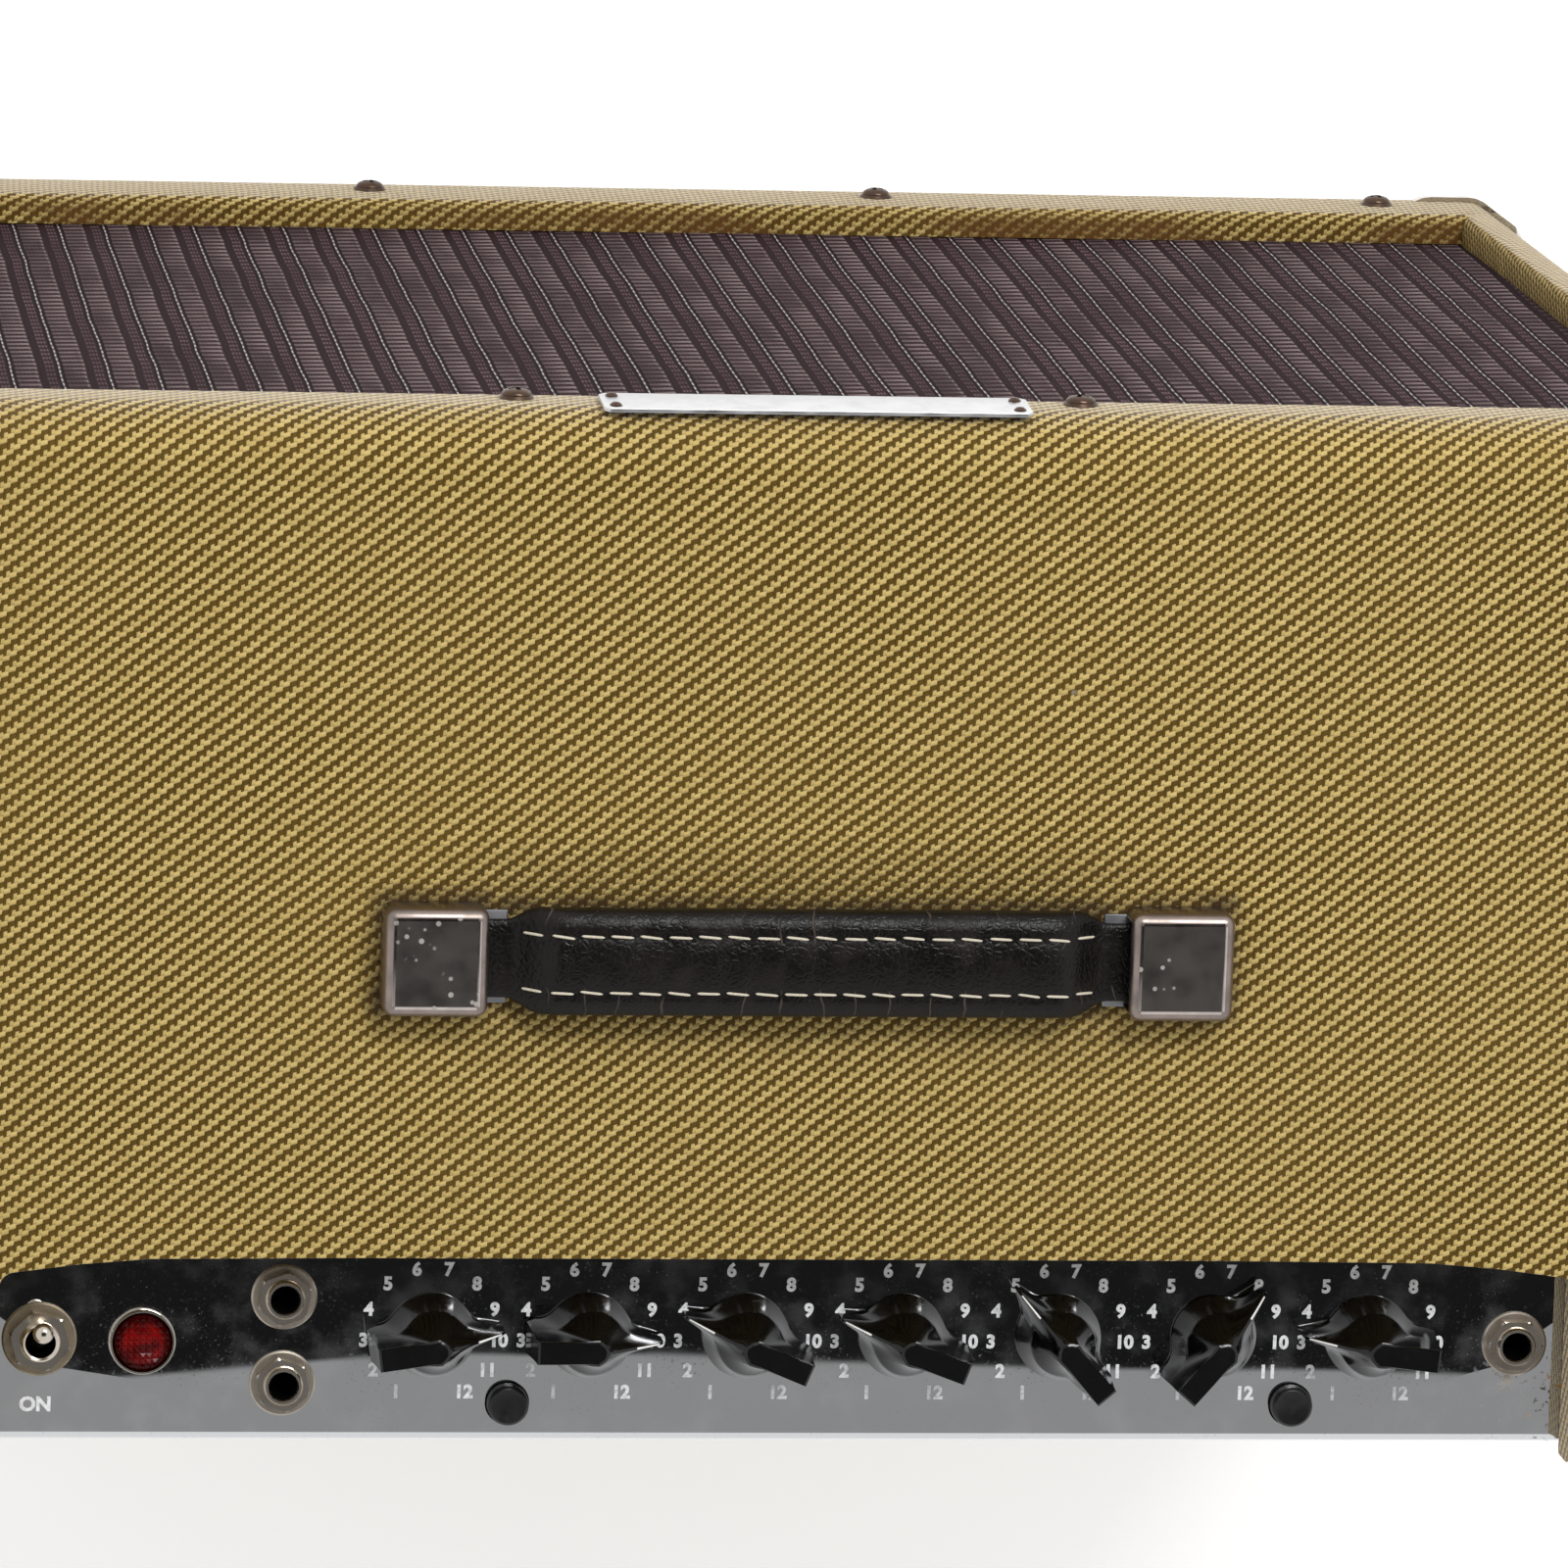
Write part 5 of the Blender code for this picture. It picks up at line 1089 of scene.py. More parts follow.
def makeNamePlate():
    low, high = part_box("name_plate")
    node = frame["nodes"]["name_plate"]
    normal = sum((p.normal * p.area for p in node.data.polygons if p.normal.y < -0.7), Vector()).normalized()
    middle = Vector(((low[0] + high[0]) / 2, (low[1] + high[1]) / 2, (low[2] + high[2]) / 2))
    up = Vector((1, 0, 0)).cross(normal)
    if up.z < 0:
        up = -up
    turn = Matrix((Vector((1, 0, 0)), up, normal)).transposed().to_4x4()
    if turn.determinant() < 0:
        turn = Matrix((Vector((-1, 0, 0)), up, normal)).transposed().to_4x4()
    place = Matrix.Translation(middle) @ turn
    half, tall, thick, nick = (high[0] - low[0]) / 2, plate["tall"] / 2, plate["thick"] / 2, plate["nick"]
    outline = [(-half + nick, -tall), (half - nick, -tall), (half, -tall + nick), (half, tall - nick),
               (half - nick, tall), (-half + nick, tall), (-half, tall - nick), (-half, -tall + nick)]
    bm = prism(outline, -thick, thick)
    rim = [edge for edge in bm.edges if all(vert.co.z > thick * 0.8 for vert in edge.verts)]
    bmesh.ops.bevel(bm, geom=rim, offset=plate["rimRound"], segments=2, profile=0.5, affect="EDGES")
    bmesh.ops.transform(bm, matrix=place, verts=bm.verts)
    settle(bm, "blank_plate", ["plate"], nodes=("name_plate",))
    rivet = bmesh.new()
    spin(rivet, plate["rivet"], 20, Matrix())
    inset = plate["rivetInset"]
    places = [(place @ Vector((sx * (half - inset), sy * (tall - inset), thick)), normal, 0.0)
              for sx in (-1, 1) for sy in (-1, 1)]
    scatter("plate_rivets", sourceMesh(rivet, "rivet"), places, "screw")


# corner protectors: pressed shells over three faces, with rivets on the side
corners = {"proud": 0.0013, "alongFront": 0.026, "frontRise": 0.0105, "round": 0.0085, "wall": 0.0006,
           "wallRound": 0.0068, "flange": 0.0050, "flangeRound": 0.004, "flangeEnd": 0.0012,
           "rivet": ((0.0, 0.0014), (0.0016, 0.0011), (0.0029, 0.0003), (0.0031, -0.0004), (0.0, -0.0004)),
           "rivetSpots": ((0.2, 0.72), (0.8, 0.72), (0.8, 0.25))}


def makeCorners():
    rivetPlaces = []
    proud, wall = corners["proud"], corners["wall"]
    for end, ySign in (("front", -1), ("rear", 1)):
        for side, xSign in sides:
            name = f"corner_{end}_{side}"
            low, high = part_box(name)
            deep = high[1] - low[1]
            rise = high[2] - bottomZ
            planeY = frontY if ySign < 0 else rearY
            # made at the positive corner, then turned to its own
            place = Matrix.Translation((0, planeY, bottomZ)) @ Matrix.Diagonal((xSign, -ySign, 1, 1))
            bm = bmesh.new()
            roundBox(bm, (halfWidth - corners["alongFront"], -proud, -proud), (halfWidth + proud, deep, rise),
                     corners["round"], 6)
            inner = bmesh.new()
            roundBox(inner, (halfWidth - 0.1, wall, wall), (halfWidth - wall, 0.2, 0.2),
                     corners["wallRound"], 5)
            bm = carve(bm, inner)
            upper = bmesh.new()
            roundBox(upper, (halfWidth - 0.1, -0.02, corners["frontRise"]),
                     (halfWidth - corners["flangeEnd"], corners["flange"], 0.2), corners["flangeRound"], 3)
            bm = carve(bm, upper)
            bmesh.ops.transform(bm, matrix=place, verts=bm.verts)
            if xSign * -ySign < 0:
                bmesh.ops.reverse_faces(bm, faces=bm.faces)
            settle(bm, "nickel_" + name, ["corner"], nodes=(name,), sharp=30.0)
            for depth, height in corners["rivetSpots"]:
                rivetPlaces.append(((xSign * (halfWidth + proud - 0.0002), planeY - ySign * deep * depth,
                                     bottomZ + rise * height), (xSign, 0, 0), 0.5))
    rivet = bmesh.new()
    spin(rivet, corners["rivet"], 18, Matrix())
    scatter("corner_rivets", sourceMesh(rivet, "rivet"), rivetPlaces, "corner")


# rubber feet, each with a screw up its middle
feet = {"edge": 0.0008, "skirt": 0.0030, "draw": 0.0022, "toe": 0.0034, "well": 0.0056, "wellTop": 0.0060,
        "screw": ((0.0, 0.0060), (0.0045, 0.0058), (0.0045, 0.0040), (0.0030, 0.0032), (0.0, 0.0030))}


def makeFeet():
    for end in ("front", "rear"):
        for side in ("left", "right"):
            name = f"foot_{end}_{side}"
            low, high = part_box(name)
            place = Matrix.Translation(((low[0] + high[0]) / 2, (low[1] + high[1]) / 2, 0))
            wide, top, edge = (high[0] - low[0]) / 2, high[2], feet["edge"]
            well, wellTop = feet["well"], feet["wellTop"]
            bm = bmesh.new()
            spin(bm, [(0.0, top), (wide - edge, top), (wide, top - edge), (wide, top - feet["skirt"]),
                      (wide - feet["draw"], 0.0012), (wide - feet["toe"], 0.0), (well + 0.0009, 0.0),
                      (well, 0.0010), (well, wellTop), (0.0, wellTop)], 40, place)
            spin(bm, feet["screw"], 20, place, 1)
            settle(bm, "rubber_" + name, ["rubber", "nickel"], nodes=(name,))


makeScrews()
makeNamePlate()
makeCorners()
makeFeet()
print("screws, plate, corners and feet made")


# control panel sheet with its holes and the marks round each control
panel = {"sheet": 0.0015, "bend": 0.0022, "jackHole": 0.0052, "switchHole": 0.0059, "lampHole": 0.0068,
         "buttonHole": 0.0054, "inletHalf": (0.0139, 0.0099), "holeDeep": 0.01, "numberSize": 0.0045,
         "ring": 0.0164, "firstDeg": -150.0, "lastDeg": 150.0, "lift": 0.00006, "onSize": 0.0048,
         "onShift": (0.0006, 0.0162)}
knobNames = ("treble", "middle", "bass", "reverb", "post", "pre", "normal")
restDeg = {"treble": 82.0, "middle": 90.0, "bass": -68.0, "reverb": -70.0, "post": -41.0, "pre": 41.0,
           "normal": -84.0}


def jointOf(child):
    return next(joint for joint in frame["joints"] if joint["child"] == child)


def middleOf(node):
    low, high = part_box(node)
    return [(a + b) / 2 for a, b in zip(low, high)]


def makePanel():
    sheet, bend, deep = panel["sheet"], panel["bend"], panel["holeDeep"]
    outline = [(panelLow[1], panelZ)]
    outline += arcPoints((panelRear - bend, panelZ - bend), bend, 90, 0, 6)
    outline += [(panelRear, panelLow[2]), (panelRear - sheet, panelLow[2])]
    outline += arcPoints((panelRear - bend, panelZ - bend), bend - sheet, 0, 90, 4)
    outline += [(panelLow[1], panelZ - sheet)]
    bm = prism(outline, panelLow[0], panelHigh[0])
    swap = Matrix(((0, 0, 1, 0), (1, 0, 0, 0), (0, 1, 0, 0), (0, 0, 0, 1)))
    bmesh.ops.transform(bm, matrix=swap, verts=bm.verts)
    cutter = bmesh.new()

    def drill(place, radius):
        spin(cutter, [(0.0, deep), (radius, deep), (radius, -deep), (0.0, -deep)], 32, place)
    holes = [("input_jack", "jackHole"), ("effects_send_jack", "jackHole"),
             ("effects_return_jack", "jackHole"), ("power_switch_body", "switchHole"),
             ("pilot_bezel", "lampHole"), ("boost_button", "buttonHole"), ("channel_button", "buttonHole")]
    for node, hole in holes:
        x, y, _ = middleOf(node)
        drill(Matrix.Translation((x, y, panelZ)), panel[hole])
    for node in ("speaker_jack", "footswitch_jack"):
        x, _, z = middleOf(node)
        drill(Matrix.Translation((x, panelRear, z)) @ turnTo((0, 1, 0)), panel["jackHole"])
    x, _, z = middleOf("mains_inlet")
    halfX, halfZ = panel["inletHalf"]
    roundBox(cutter, (x - halfX, panelRear - deep, z - halfZ), (x + halfX, panelRear + deep, z + halfZ),
             0.0, 1)
    bm = carve(bm, cutter)
    settle(bm, "chrome_panel", ["panel"], nodes=("control_panel",), sharp=30.0)


def textMesh(words, size, weight=0.0002):
    curve = bpy.data.curves.new("mark", "FONT")
    curve.body = words
    curve.size = size
    curve.align_x = "CENTER"
    curve.align_y = "CENTER"
    curve.offset = weight
    curve.resolution_u = 3
    item = bpy.data.objects.new("mark", curve)
    bpy.context.scene.collection.objects.link(item)
    bpy.context.view_layer.update()
    mesh = bpy.data.meshes.new_from_object(item.evaluated_get(bpy.context.evaluated_depsgraph_get()))
    bpy.data.objects.remove(item, do_unlink=True)
    return mesh


def makeMarks():
    # numbers read upright from behind the cabinet, so they are turned half round
    bm = bmesh.new()
    upright = Matrix.Rotation(math.pi, 4, "Z")
    glyphs = {str(k): textMesh(str(k), panel["numberSize"]) for k in range(1, 13)}

    def stamp(mesh, x, y):
        before = len(bm.verts)
        bm.from_mesh(mesh)
        bm.verts.ensure_lookup_table()
        place = Matrix.Translation((x, y, panelZ + panel["lift"])) @ upright
        bmesh.ops.transform(bm, matrix=place, verts=bm.verts[before:])
    for name in knobNames:
        x, y, _ = jointOf(f"{name}_knob")["pos_m"]
        for k in range(12):
            angle = math.radians(panel["firstDeg"] + (panel["lastDeg"] - panel["firstDeg"]) * k / 11)
            dx, dy = panel["ring"] * math.sin(angle), panel["ring"] * math.cos(angle)
            stamp(glyphs[str(k + 1)], x - dx, y - dy)
    x, y, _ = middleOf("power_switch_body")
    stamp(textMesh("ON", panel["onSize"]), x + panel["onShift"][0], y + panel["onShift"][1])
    settle(bm, "dial_numbers", ["mark"], recalc=False)


makePanel()
makeMarks()


# pointer knobs
knob = {"height": 0.0195, "base": 0.0105, "waist": 0.0068, "beak": 0.0170, "tail": 0.0152, "ridge": 0.0028,
        "beakHeight": 0.0075, "blend": 5.0, "tip": 0.00035, "lift": 0.0007, "shaft": 0.003,
        "shaftDeep": -0.0074, "lineStart": 0.10, "lineRun": 0.40, "lineHalf": 0.00015, "lineSpread": 0.00006}


def knobSides(level):
    # half width of the bar, its two ends, the skirt and where the beak starts to narrow
    half = knob["ridge"] + 0.0012 * (1 - level) ** 1.5
    foot = min(level / 0.10, 1.0)
    beak = knob["base"] + (knob["beak"] - knob["base"]) * (0.30 + 0.70 * foot)
    tail = knob["base"] + (knob["tail"] - knob["base"]) * (0.30 + 0.70 * foot) - 0.0008 * level
    start = knob["beakHeight"] / knob["height"]
    if level > start:
        beak -= (beak - knob["ridge"] * 0.5) * ((level - start) / (1 - start)) ** 1.15
    skirt = knob["waist"] + (knob["base"] - knob["waist"]) * (1 - level) ** 2.2
    skirt *= 1.0 - 0.62 * max(0.0, level - 0.45) / 0.55
    return half, beak, tail, skirt, beak * 0.22


def knobReach(angle, level):
    # plan radius at an angle from the beak, at a level from 0 to 1
    half, beak, tail, skirt, shoulder = knobSides(level)
    ux, uy = math.sin(angle), math.cos(angle)
    edges = [((1.0, 0.0), half), ((0.0, -1.0), tail), ((0.0, 1.0), beak)]
    slope = Vector((beak - shoulder, half - knob["tip"])).normalized()
    edges.append(((slope.x, slope.y), slope.x * half + slope.y * shoulder))
    leans = [(nx * abs(ux) + ny * uy, distance) for (nx, ny), distance in edges]
    reach = min(distance / lean for lean, distance in leans if lean > 1e-6)
    power = knob["blend"]
    return (skirt ** power + reach ** power) ** (1 / power) if reach > skirt * 0.2 else skirt


def knobAngles(level):
    # angles spread between the corners, so each corner makes one clean edge up the knob
    half, beak, tail, _, shoulder = knobSides(level)
    marks = [0.0, math.atan2(knob["tip"], beak), math.atan2(half, shoulder), math.pi - math.atan2(half, tail),
             math.pi]
    side = []
    for first, last, count in zip(marks, marks[1:], (2, 24, 34, 6)):
        side += [first + (last - first) * k / count for k in range(count)]
    return side + [math.pi] + [-angle for angle in reversed(side[1:])]


def knobLine(bm, place):
    # white line let into the beak's ridge
    start = knob["beakHeight"] / knob["height"]
    loops = []
    for k in range(9):
        level = start + (1.0 - start) * (knob["lineStart"] + knob["lineRun"] * k / 8)
        point = Vector((0, -knobReach(0.0, level), level * knob["height"]))
        half = knob["lineHalf"] + knob["lineSpread"] * k / 8
        section = [Vector((a * half, 0.0006 * b, 0.0002 - 0.0010 * (b > 0)))
                   for a, b in ((-1, 1), (1, 1), (1, -0.25), (-1, -0.25))]
        loops.append([bm.verts.new(place @ (point + offset)) for offset in section])
    joinRings(bm, loops, 1)
    bm.faces.new(loops[-1]).material_index = 1
    bm.faces.new(list(reversed(loops[0]))).material_index = 1


def makeKnobs():
    levels = [0.0, 0.02] + [0.05 + 0.93 * k / 34 for k in range(35)] + [0.985, 1.0]
    trims = {0.0: 0.0003, 0.985: 0.0002, 1.0: 0.0005}
    shaft, deep = knob["shaft"], knob["shaftDeep"]
    for name in knobNames:
        joint = jointOf(f"{name}_knob")
        place = Matrix.Translation(Vector(joint["pos_m"]) + Vector((0, 0, knob["lift"]))) @ Matrix.Rotation(
            math.radians(-restDeg[name]), 4, "Z")
        bm = bmesh.new()
        rings = []
        for level in levels:
            ring = []
            for angle in knobAngles(level):
                reach = knobReach(angle, level) - trims.get(level, 0.0)
                ring.append(bm.verts.new(place @ Vector((reach * math.sin(angle), -reach * math.cos(angle),
                                                         level * knob["height"]))))
            rings.append(ring)
        joinRings(bm, rings)
        bm.faces.new(rings[-1])
        bm.faces.new(list(reversed(rings[0])))
        spin(bm, [(0.0, 0.002), (shaft, 0.002), (shaft, deep), (0.0, deep)], 24, place)
        knobLine(bm, place)
        settle(bm, f"pointer_{name}_knob", ["knob", "pointer"], body=f"{name}_knob", nodes=(f"{name}_knob",),
               sharp=32.0)


makeKnobs()
print("panel, marks and knobs made")


# jacks: washer, hexagon nut and threaded barrel, with the dark body under the panel
jack = {"washer": 0.00795, "washerHole": 0.0050, "washerTop": 0.0008, "flats": 0.0118, "nutTop": 0.0033,
        "barrel": 0.00475, "bore": 0.0034, "top": 0.0046, "deep": -0.012, "floor": -0.0012, "pitch": 0.0008,
        "bodyHalf": 0.007, "bodyTop": -0.0019, "bodyDeep": -0.0152}


def threadProfile(radius, top, bottom, pitch):
    points = []
    height = top
    while height > bottom + pitch:
        points += [(radius - 0.00012, height), (radius, height - pitch * 0.5)]
        height -= pitch
    return points + [(radius - 0.00012, bottom)]


def washerProfile(hole, edge, top):
    return [(hole, top), (edge - 0.0004, top), (edge, 0.0005), (edge, 0.00005), (hole, 0.00005)]


def makeJacks():
    sites = [("input_jack", (0, 0, 1)), ("effects_send_jack", (0, 0, 1)), ("effects_return_jack", (0, 0, 1)),
             ("speaker_jack", (0, 1, 0)), ("footswitch_jack", (0, 1, 0))]
    bore, top, deep, half = jack["bore"], jack["top"], jack["deep"], jack["bodyHalf"]
    for k, (name, out) in enumerate(sites):
        x, y, z = middleOf(name)
        spot = (x, y, panelZ) if out[2] else (x, panelRear, z)
        place = Matrix.Translation(spot) @ turnTo(out) @ Matrix.Rotation(0.5 + k * 0.37, 4, "Z")
        bm = bmesh.new()
        spin(bm, washerProfile(jack["washerHole"], jack["washer"], jack["washerTop"]), 48, place, 2)
        hexNut(bm, jack["flats"], jack["barrel"] - 0.0002, jack["washerTop"] - 0.0001, jack["nutTop"], place)
        barrel = [(bore + 0.0003, top), (jack["barrel"] - 0.0004, top)]
        barrel += threadProfile(jack["barrel"], top - 0.0004, deep, jack["pitch"])
        barrel += [(bore, deep), (bore, top - 0.0004)]
        spin(bm, barrel, 40, place)
        # dark lining and floor of the bore, standing in as painted shade for the bore's depth
        liner = bore + 0.0002, bore - 0.0001
        spin(bm, [(liner[0], top - 0.0008), (liner[0], deep + 0.0002), (liner[1], deep + 0.0002),
                  (liner[1], top - 0.0008)], 40, place, 1)
        spin(bm, [(0.0, jack["floor"]), (bore + 0.0001, jack["floor"]), (bore + 0.0001, deep - 0.001),
                  (0.0, deep - 0.001)], 24, place, 1)
        roundBox(bm, (-half, -half, jack["bodyDeep"]), (half, half, jack["bodyTop"]), 0.0006, 2, 1, place)
        settle(bm, "threaded_" + name, ["nickel", "dark", "agedNickel"], nodes=(name,),
               sharp=22.0)


# toggle switch: washer, nut, collar and a ball-ended lever
toggle = {"washer": 0.0090, "washerHole": 0.0050, "washerTop": 0.0008, "flats": 0.0131, "nutHole": 0.0046,
          "nutTop": 0.0036, "collar": 0.0048, "bore": 0.0037, "collarTop": 0.0050, "deep": -0.006,
          "floor": -0.0011, "floorDeep": -0.004, "pitch": 0.0008, "bodyHalf": 0.0075, "bodyTop": -0.0019,
          "bodyDeep": -0.0146, "turn": 0.26, "leanDeg": 20.0, "ball": 0.0025, "ballHeight": 0.0125,
          "stem": ((0.0014, 0.0095), (0.0017, 0.0050), (0.0022, 0.0016), (0.0020, -0.0012), (0.0, -0.0018))}


def makeSwitch():
    x, y, _ = middleOf("power_switch_body")
    flat = Matrix.Translation((x, y, panelZ))
    place = flat @ Matrix.Rotation(toggle["turn"], 4, "Z")
    bore, top, half = toggle["bore"], toggle["collarTop"], toggle["bodyHalf"]
    bm = bmesh.new()
    spin(bm, washerProfile(toggle["washerHole"], toggle["washer"], toggle["washerTop"]), 48, place, 1)
    hexNut(bm, toggle["flats"], toggle["nutHole"], toggle["washerTop"] - 0.0001, toggle["nutTop"], place)
    collar = [(bore, top), (bore + 0.0005, top + 0.0003), (toggle["collar"] - 0.0002, top)]
    collar += threadProfile(toggle["collar"], top - 0.0003, toggle["deep"], toggle["pitch"])
    spin(bm, collar + [(bore, toggle["deep"])], 40, place)
    floor, under = toggle["floor"], toggle["floorDeep"]
    # a near-black floor in the collar's bore: painted shade for its depth
    spin(bm, [(0.0, floor), (bore + 0.0001, floor), (bore + 0.0001, under), (0.0, under)], 24, place, 2)
    roundBox(bm, (-half, -half, toggle["bodyDeep"]), (half, half, toggle["bodyTop"]), 0.0008, 2, 2, flat)
    settle(bm, "toggle_body", ["nickel", "brassWasher", "dark"], nodes=("power_switch_body",),
           sharp=22.0)
    joint = jointOf("power_switch_lever")
    place = Matrix.Translation(joint["pos_m"]) @ Matrix.Rotation(math.radians(toggle["leanDeg"]), 4, "X")
    bm = bmesh.new()
    radius, height = toggle["ball"], toggle["ballHeight"]
    turns = [math.pi * 0.80 * k / 12 for k in range(13)]
    ball = [(radius * math.sin(a), height + radius * math.cos(a)) for a in turns]
    ball[0] = (0.0, height + radius)
    spin(bm, ball + list(toggle["stem"]), 32, place)
    settle(bm, "toggle_lever", ["nickel"], body="power_switch_lever", nodes=("power_switch_lever",))


# pilot lamp: a bright ring round a shallow red dome cut into small pyramids
pilot = {"ring": ((0.0070, 0.0026), (0.0073, 0.0031), (0.0077, 0.0031), (0.0080, 0.0026),
                  (0.0081, 0.0002), (0.0064, 0.00005), (0.0064, -0.0088), (0.0060, -0.0088),
                  (0.0060, 0.0006), (0.0070, 0.0008)),
         "cells": 9, "reach": 0.0068, "edge": 0.0016, "crown": 0.0046, "point": 0.00055, "neck": 0.0050,
         "neckDeep": -0.0088}


def makePilot():
    x, y, _ = middleOf("pilot_bezel")
    place = Matrix.Translation((x, y, panelZ))
    bm = bmesh.new()
    spin(bm, pilot["ring"], 56, place)
    settle(bm, "pilot_ring", ["nickel"], nodes=("pilot_bezel",))
    bm = bmesh.new()
    cells, reach, neck = pilot["cells"], pilot["reach"], pilot["neck"]
    step = 2 * reach / cells

    def dome(px, py):
        r = min(math.hypot(px, py) / reach, 1.0)
        return pilot["edge"] + (pilot["crown"] - pilot["edge"]) * math.sqrt(max(0.0, 1 - r * r * 0.86))

    def hold(px, py):
        r = math.hypot(px, py)
        k = min(1.0, reach / r) if r > 0 else 1.0
        return px * k, py * k
    for i in range(cells):
        for j in range(cells):
            px, py = -reach + step * i, -reach + step * j
            quad = [hold(px, py), hold(px + step, py), hold(px + step, py + step), hold(px, py + step)]
            cx = sum(q[0] for q in quad) / 4
            cy = sum(q[1] for q in quad) / 4
            if math.hypot(cx, cy) > reach * 0.995:
                continue
            low = [bm.verts.new(place @ Vector((qx, qy, dome(qx, qy)))) for qx, qy in quad]
            tip = bm.verts.new(place @ Vector((cx, cy, dome(cx, cy) + pilot["point"])))
            for k in range(4):
                if (low[k].co - low[(k + 1) % 4].co).length > 1e-6:
                    bm.faces.new((low[k], low[(k + 1) % 4], tip))
    # the jewel's own rim and neck
    spin(bm, [(reach * 1.002, 0.0030), (reach * 1.002, 0.0012), (neck, 0.0012), (neck, pilot["neckDeep"]),
              (neck - 0.0002, 0.0010)], 48, place)
    settle(bm, "pilot_jewel_lens", ["jewel"], nodes=("pilot_lens",), sharp=12.0)


# push buttons, a little hollow on top
button = {"radius": 0.0050, "hollow": 0.0003, "hollowEdge": 0.0030, "rim": 0.0042, "shoulder": 0.0047,
          "drop": 0.0010}


def makeButtons():
    radius, hollow = button["radius"], button["hollow"]
    for name in ("boost_button", "channel_button"):
        low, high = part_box(name)
        place = Matrix.Translation(((low[0] + high[0]) / 2, (low[1] + high[1]) / 2, panelZ))
        top, end = high[2] - panelZ, low[2] - panelZ
        bm = bmesh.new()
        spin(bm, [(0.0, top - hollow), (button["hollowEdge"], top - 0.0002), (button["rim"], top),
                  (button["shoulder"], top - hollow), (radius, top - button["drop"]), (radius, end),
                  (0.0, end)], 48, place)
        settle(bm, "cap_" + name, ["button"], body=name, nodes=(name,))


makeJacks()
makeSwitch()
makePilot()
makeButtons()
print("jacks, switch, lamp and buttons made")


# where the strap ends and the height it lies at
gripEnd = gripHigh[0]
gripBase = gripLow[2]


def easeStep(value):
    value = max(0.0, min(1.0, value))
    return value * value * (3 - 2 * value)


def gripShape(x):
    # half width and height along the strap
    past = easeStep((abs(x) - (gripEnd - handle["narrowRun"])) / handle["narrowRun"])
    half = handle["width"] / 2 + (handle["tongue"] / 2 - handle["width"] / 2) * past ** 1.6
    fall = easeStep((abs(x) - (gripEnd - handle["fallRun"])) / handle["fallRun"])
    height = handle["height"] + (handle["tongueHeight"] - handle["height"]) * fall
    return half, height


def gripTop(x, y):
    half, height = gripShape(x)
    share = min(abs(y) / half, 1.0)
    full = easeStep((gripEnd - abs(x)) / 0.012)
    crown = height * (1 - 0.10 * share ** 2 * full)
    dip = handle["groove"] * math.exp(-((abs(y) - handle["stitchRow"]) / handle["grooveWide"]) ** 2) * full
    sway = 0.00018 * math.sin(x * 310 + y * 90) * full + 0.00012 * math.sin(x * 870 - y * 160) * full
    return crown - dip + sway


def gripRing(bm, x, count):
    # rounded-square section of the strap at x
    half, height = gripShape(x)
    middle = height * 0.46
    ring = []
    for m in range(count):
        angle = 2 * math.pi * m / count
        cy, cz = math.cos(angle), math.sin(angle)
        y = half * math.copysign(abs(cy) ** 0.52, cy)
        top = gripTop(x, y)
        z = middle + math.copysign(abs(cz) ** 0.62, cz) * (top - middle if cz > 0 else middle)
        ring.append(bm.verts.new((x, gripMidY + y, gripBase + z)))
    return ring


def bendWithGrip(piece):
    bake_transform(piece)


def makeGrip():
    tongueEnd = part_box("handle_tongue_right")[1][0]
    stations = 74
    for side, sign in sides:
        bm = bmesh.new()
        rings = [gripRing(bm, sign * tongueEnd * k / stations, 56) for k in range(stations + 1)]
        joinRings(bm, rings)
        bm.faces.new(rings[-1])
        bmesh.ops.recalc_face_normals(bm, faces=bm.faces)
        piece = settle(bm, f"leather_grip_{side}", ["leather"], body=None,
                       nodes=("handle_grip", f"handle_tongue_{side}"), sharp=60.0,
                       recalc=False)
        bendWithGrip(piece)
        makeStitches(side, sign)


def makeStitches(side, sign):
    bm = bmesh.new()
    half, radius = handle["stitchLength"] / 2, handle["stitchRadius"]
    spin(bm, [(0.0, half), (radius * 0.6, half * 0.93), (radius, half * 0.75), (radius * 1.05, 0.0),
              (radius, -half * 0.75), (radius * 0.6, -half * 0.93), (0.0, -half)], 8, Matrix())
    places = []
    for k in range(handle["stitches"]):
        x = sign * handle["stitchPitch"] * (k + 0.5)
        for row in (-1, 1):
            y = row * handle["stitchRow"]
            ahead = gripTop(x + 0.002, y) - gripTop(x - 0.002, y)
            z = gripBase + gripTop(x, y) + radius * 0.35
            lean = 0.05 * math.sin(k * 2.3 + row) - 0.07
            point = (x, gripMidY + y + 0.0001 * math.sin(k * 1.7), z)
            places.append((point, (1.0, lean, ahead / 0.004), 0.0))
    piece = scatter(f"grip_stitches_{side}", sourceMesh(bm, "stitch"), places, "thread", ride=False)
    bendWithGrip(piece)


# nickel caps over the strap's ends, each on a steel base plate
caps = {"rise": 0.0111, "round": 0.0028, "wall": 0.0022, "mouth": 0.004, "baseOut": 0.0052, "baseIn": 0.0018,
        "baseTop": 0.0011, "baseRound": 0.0004}


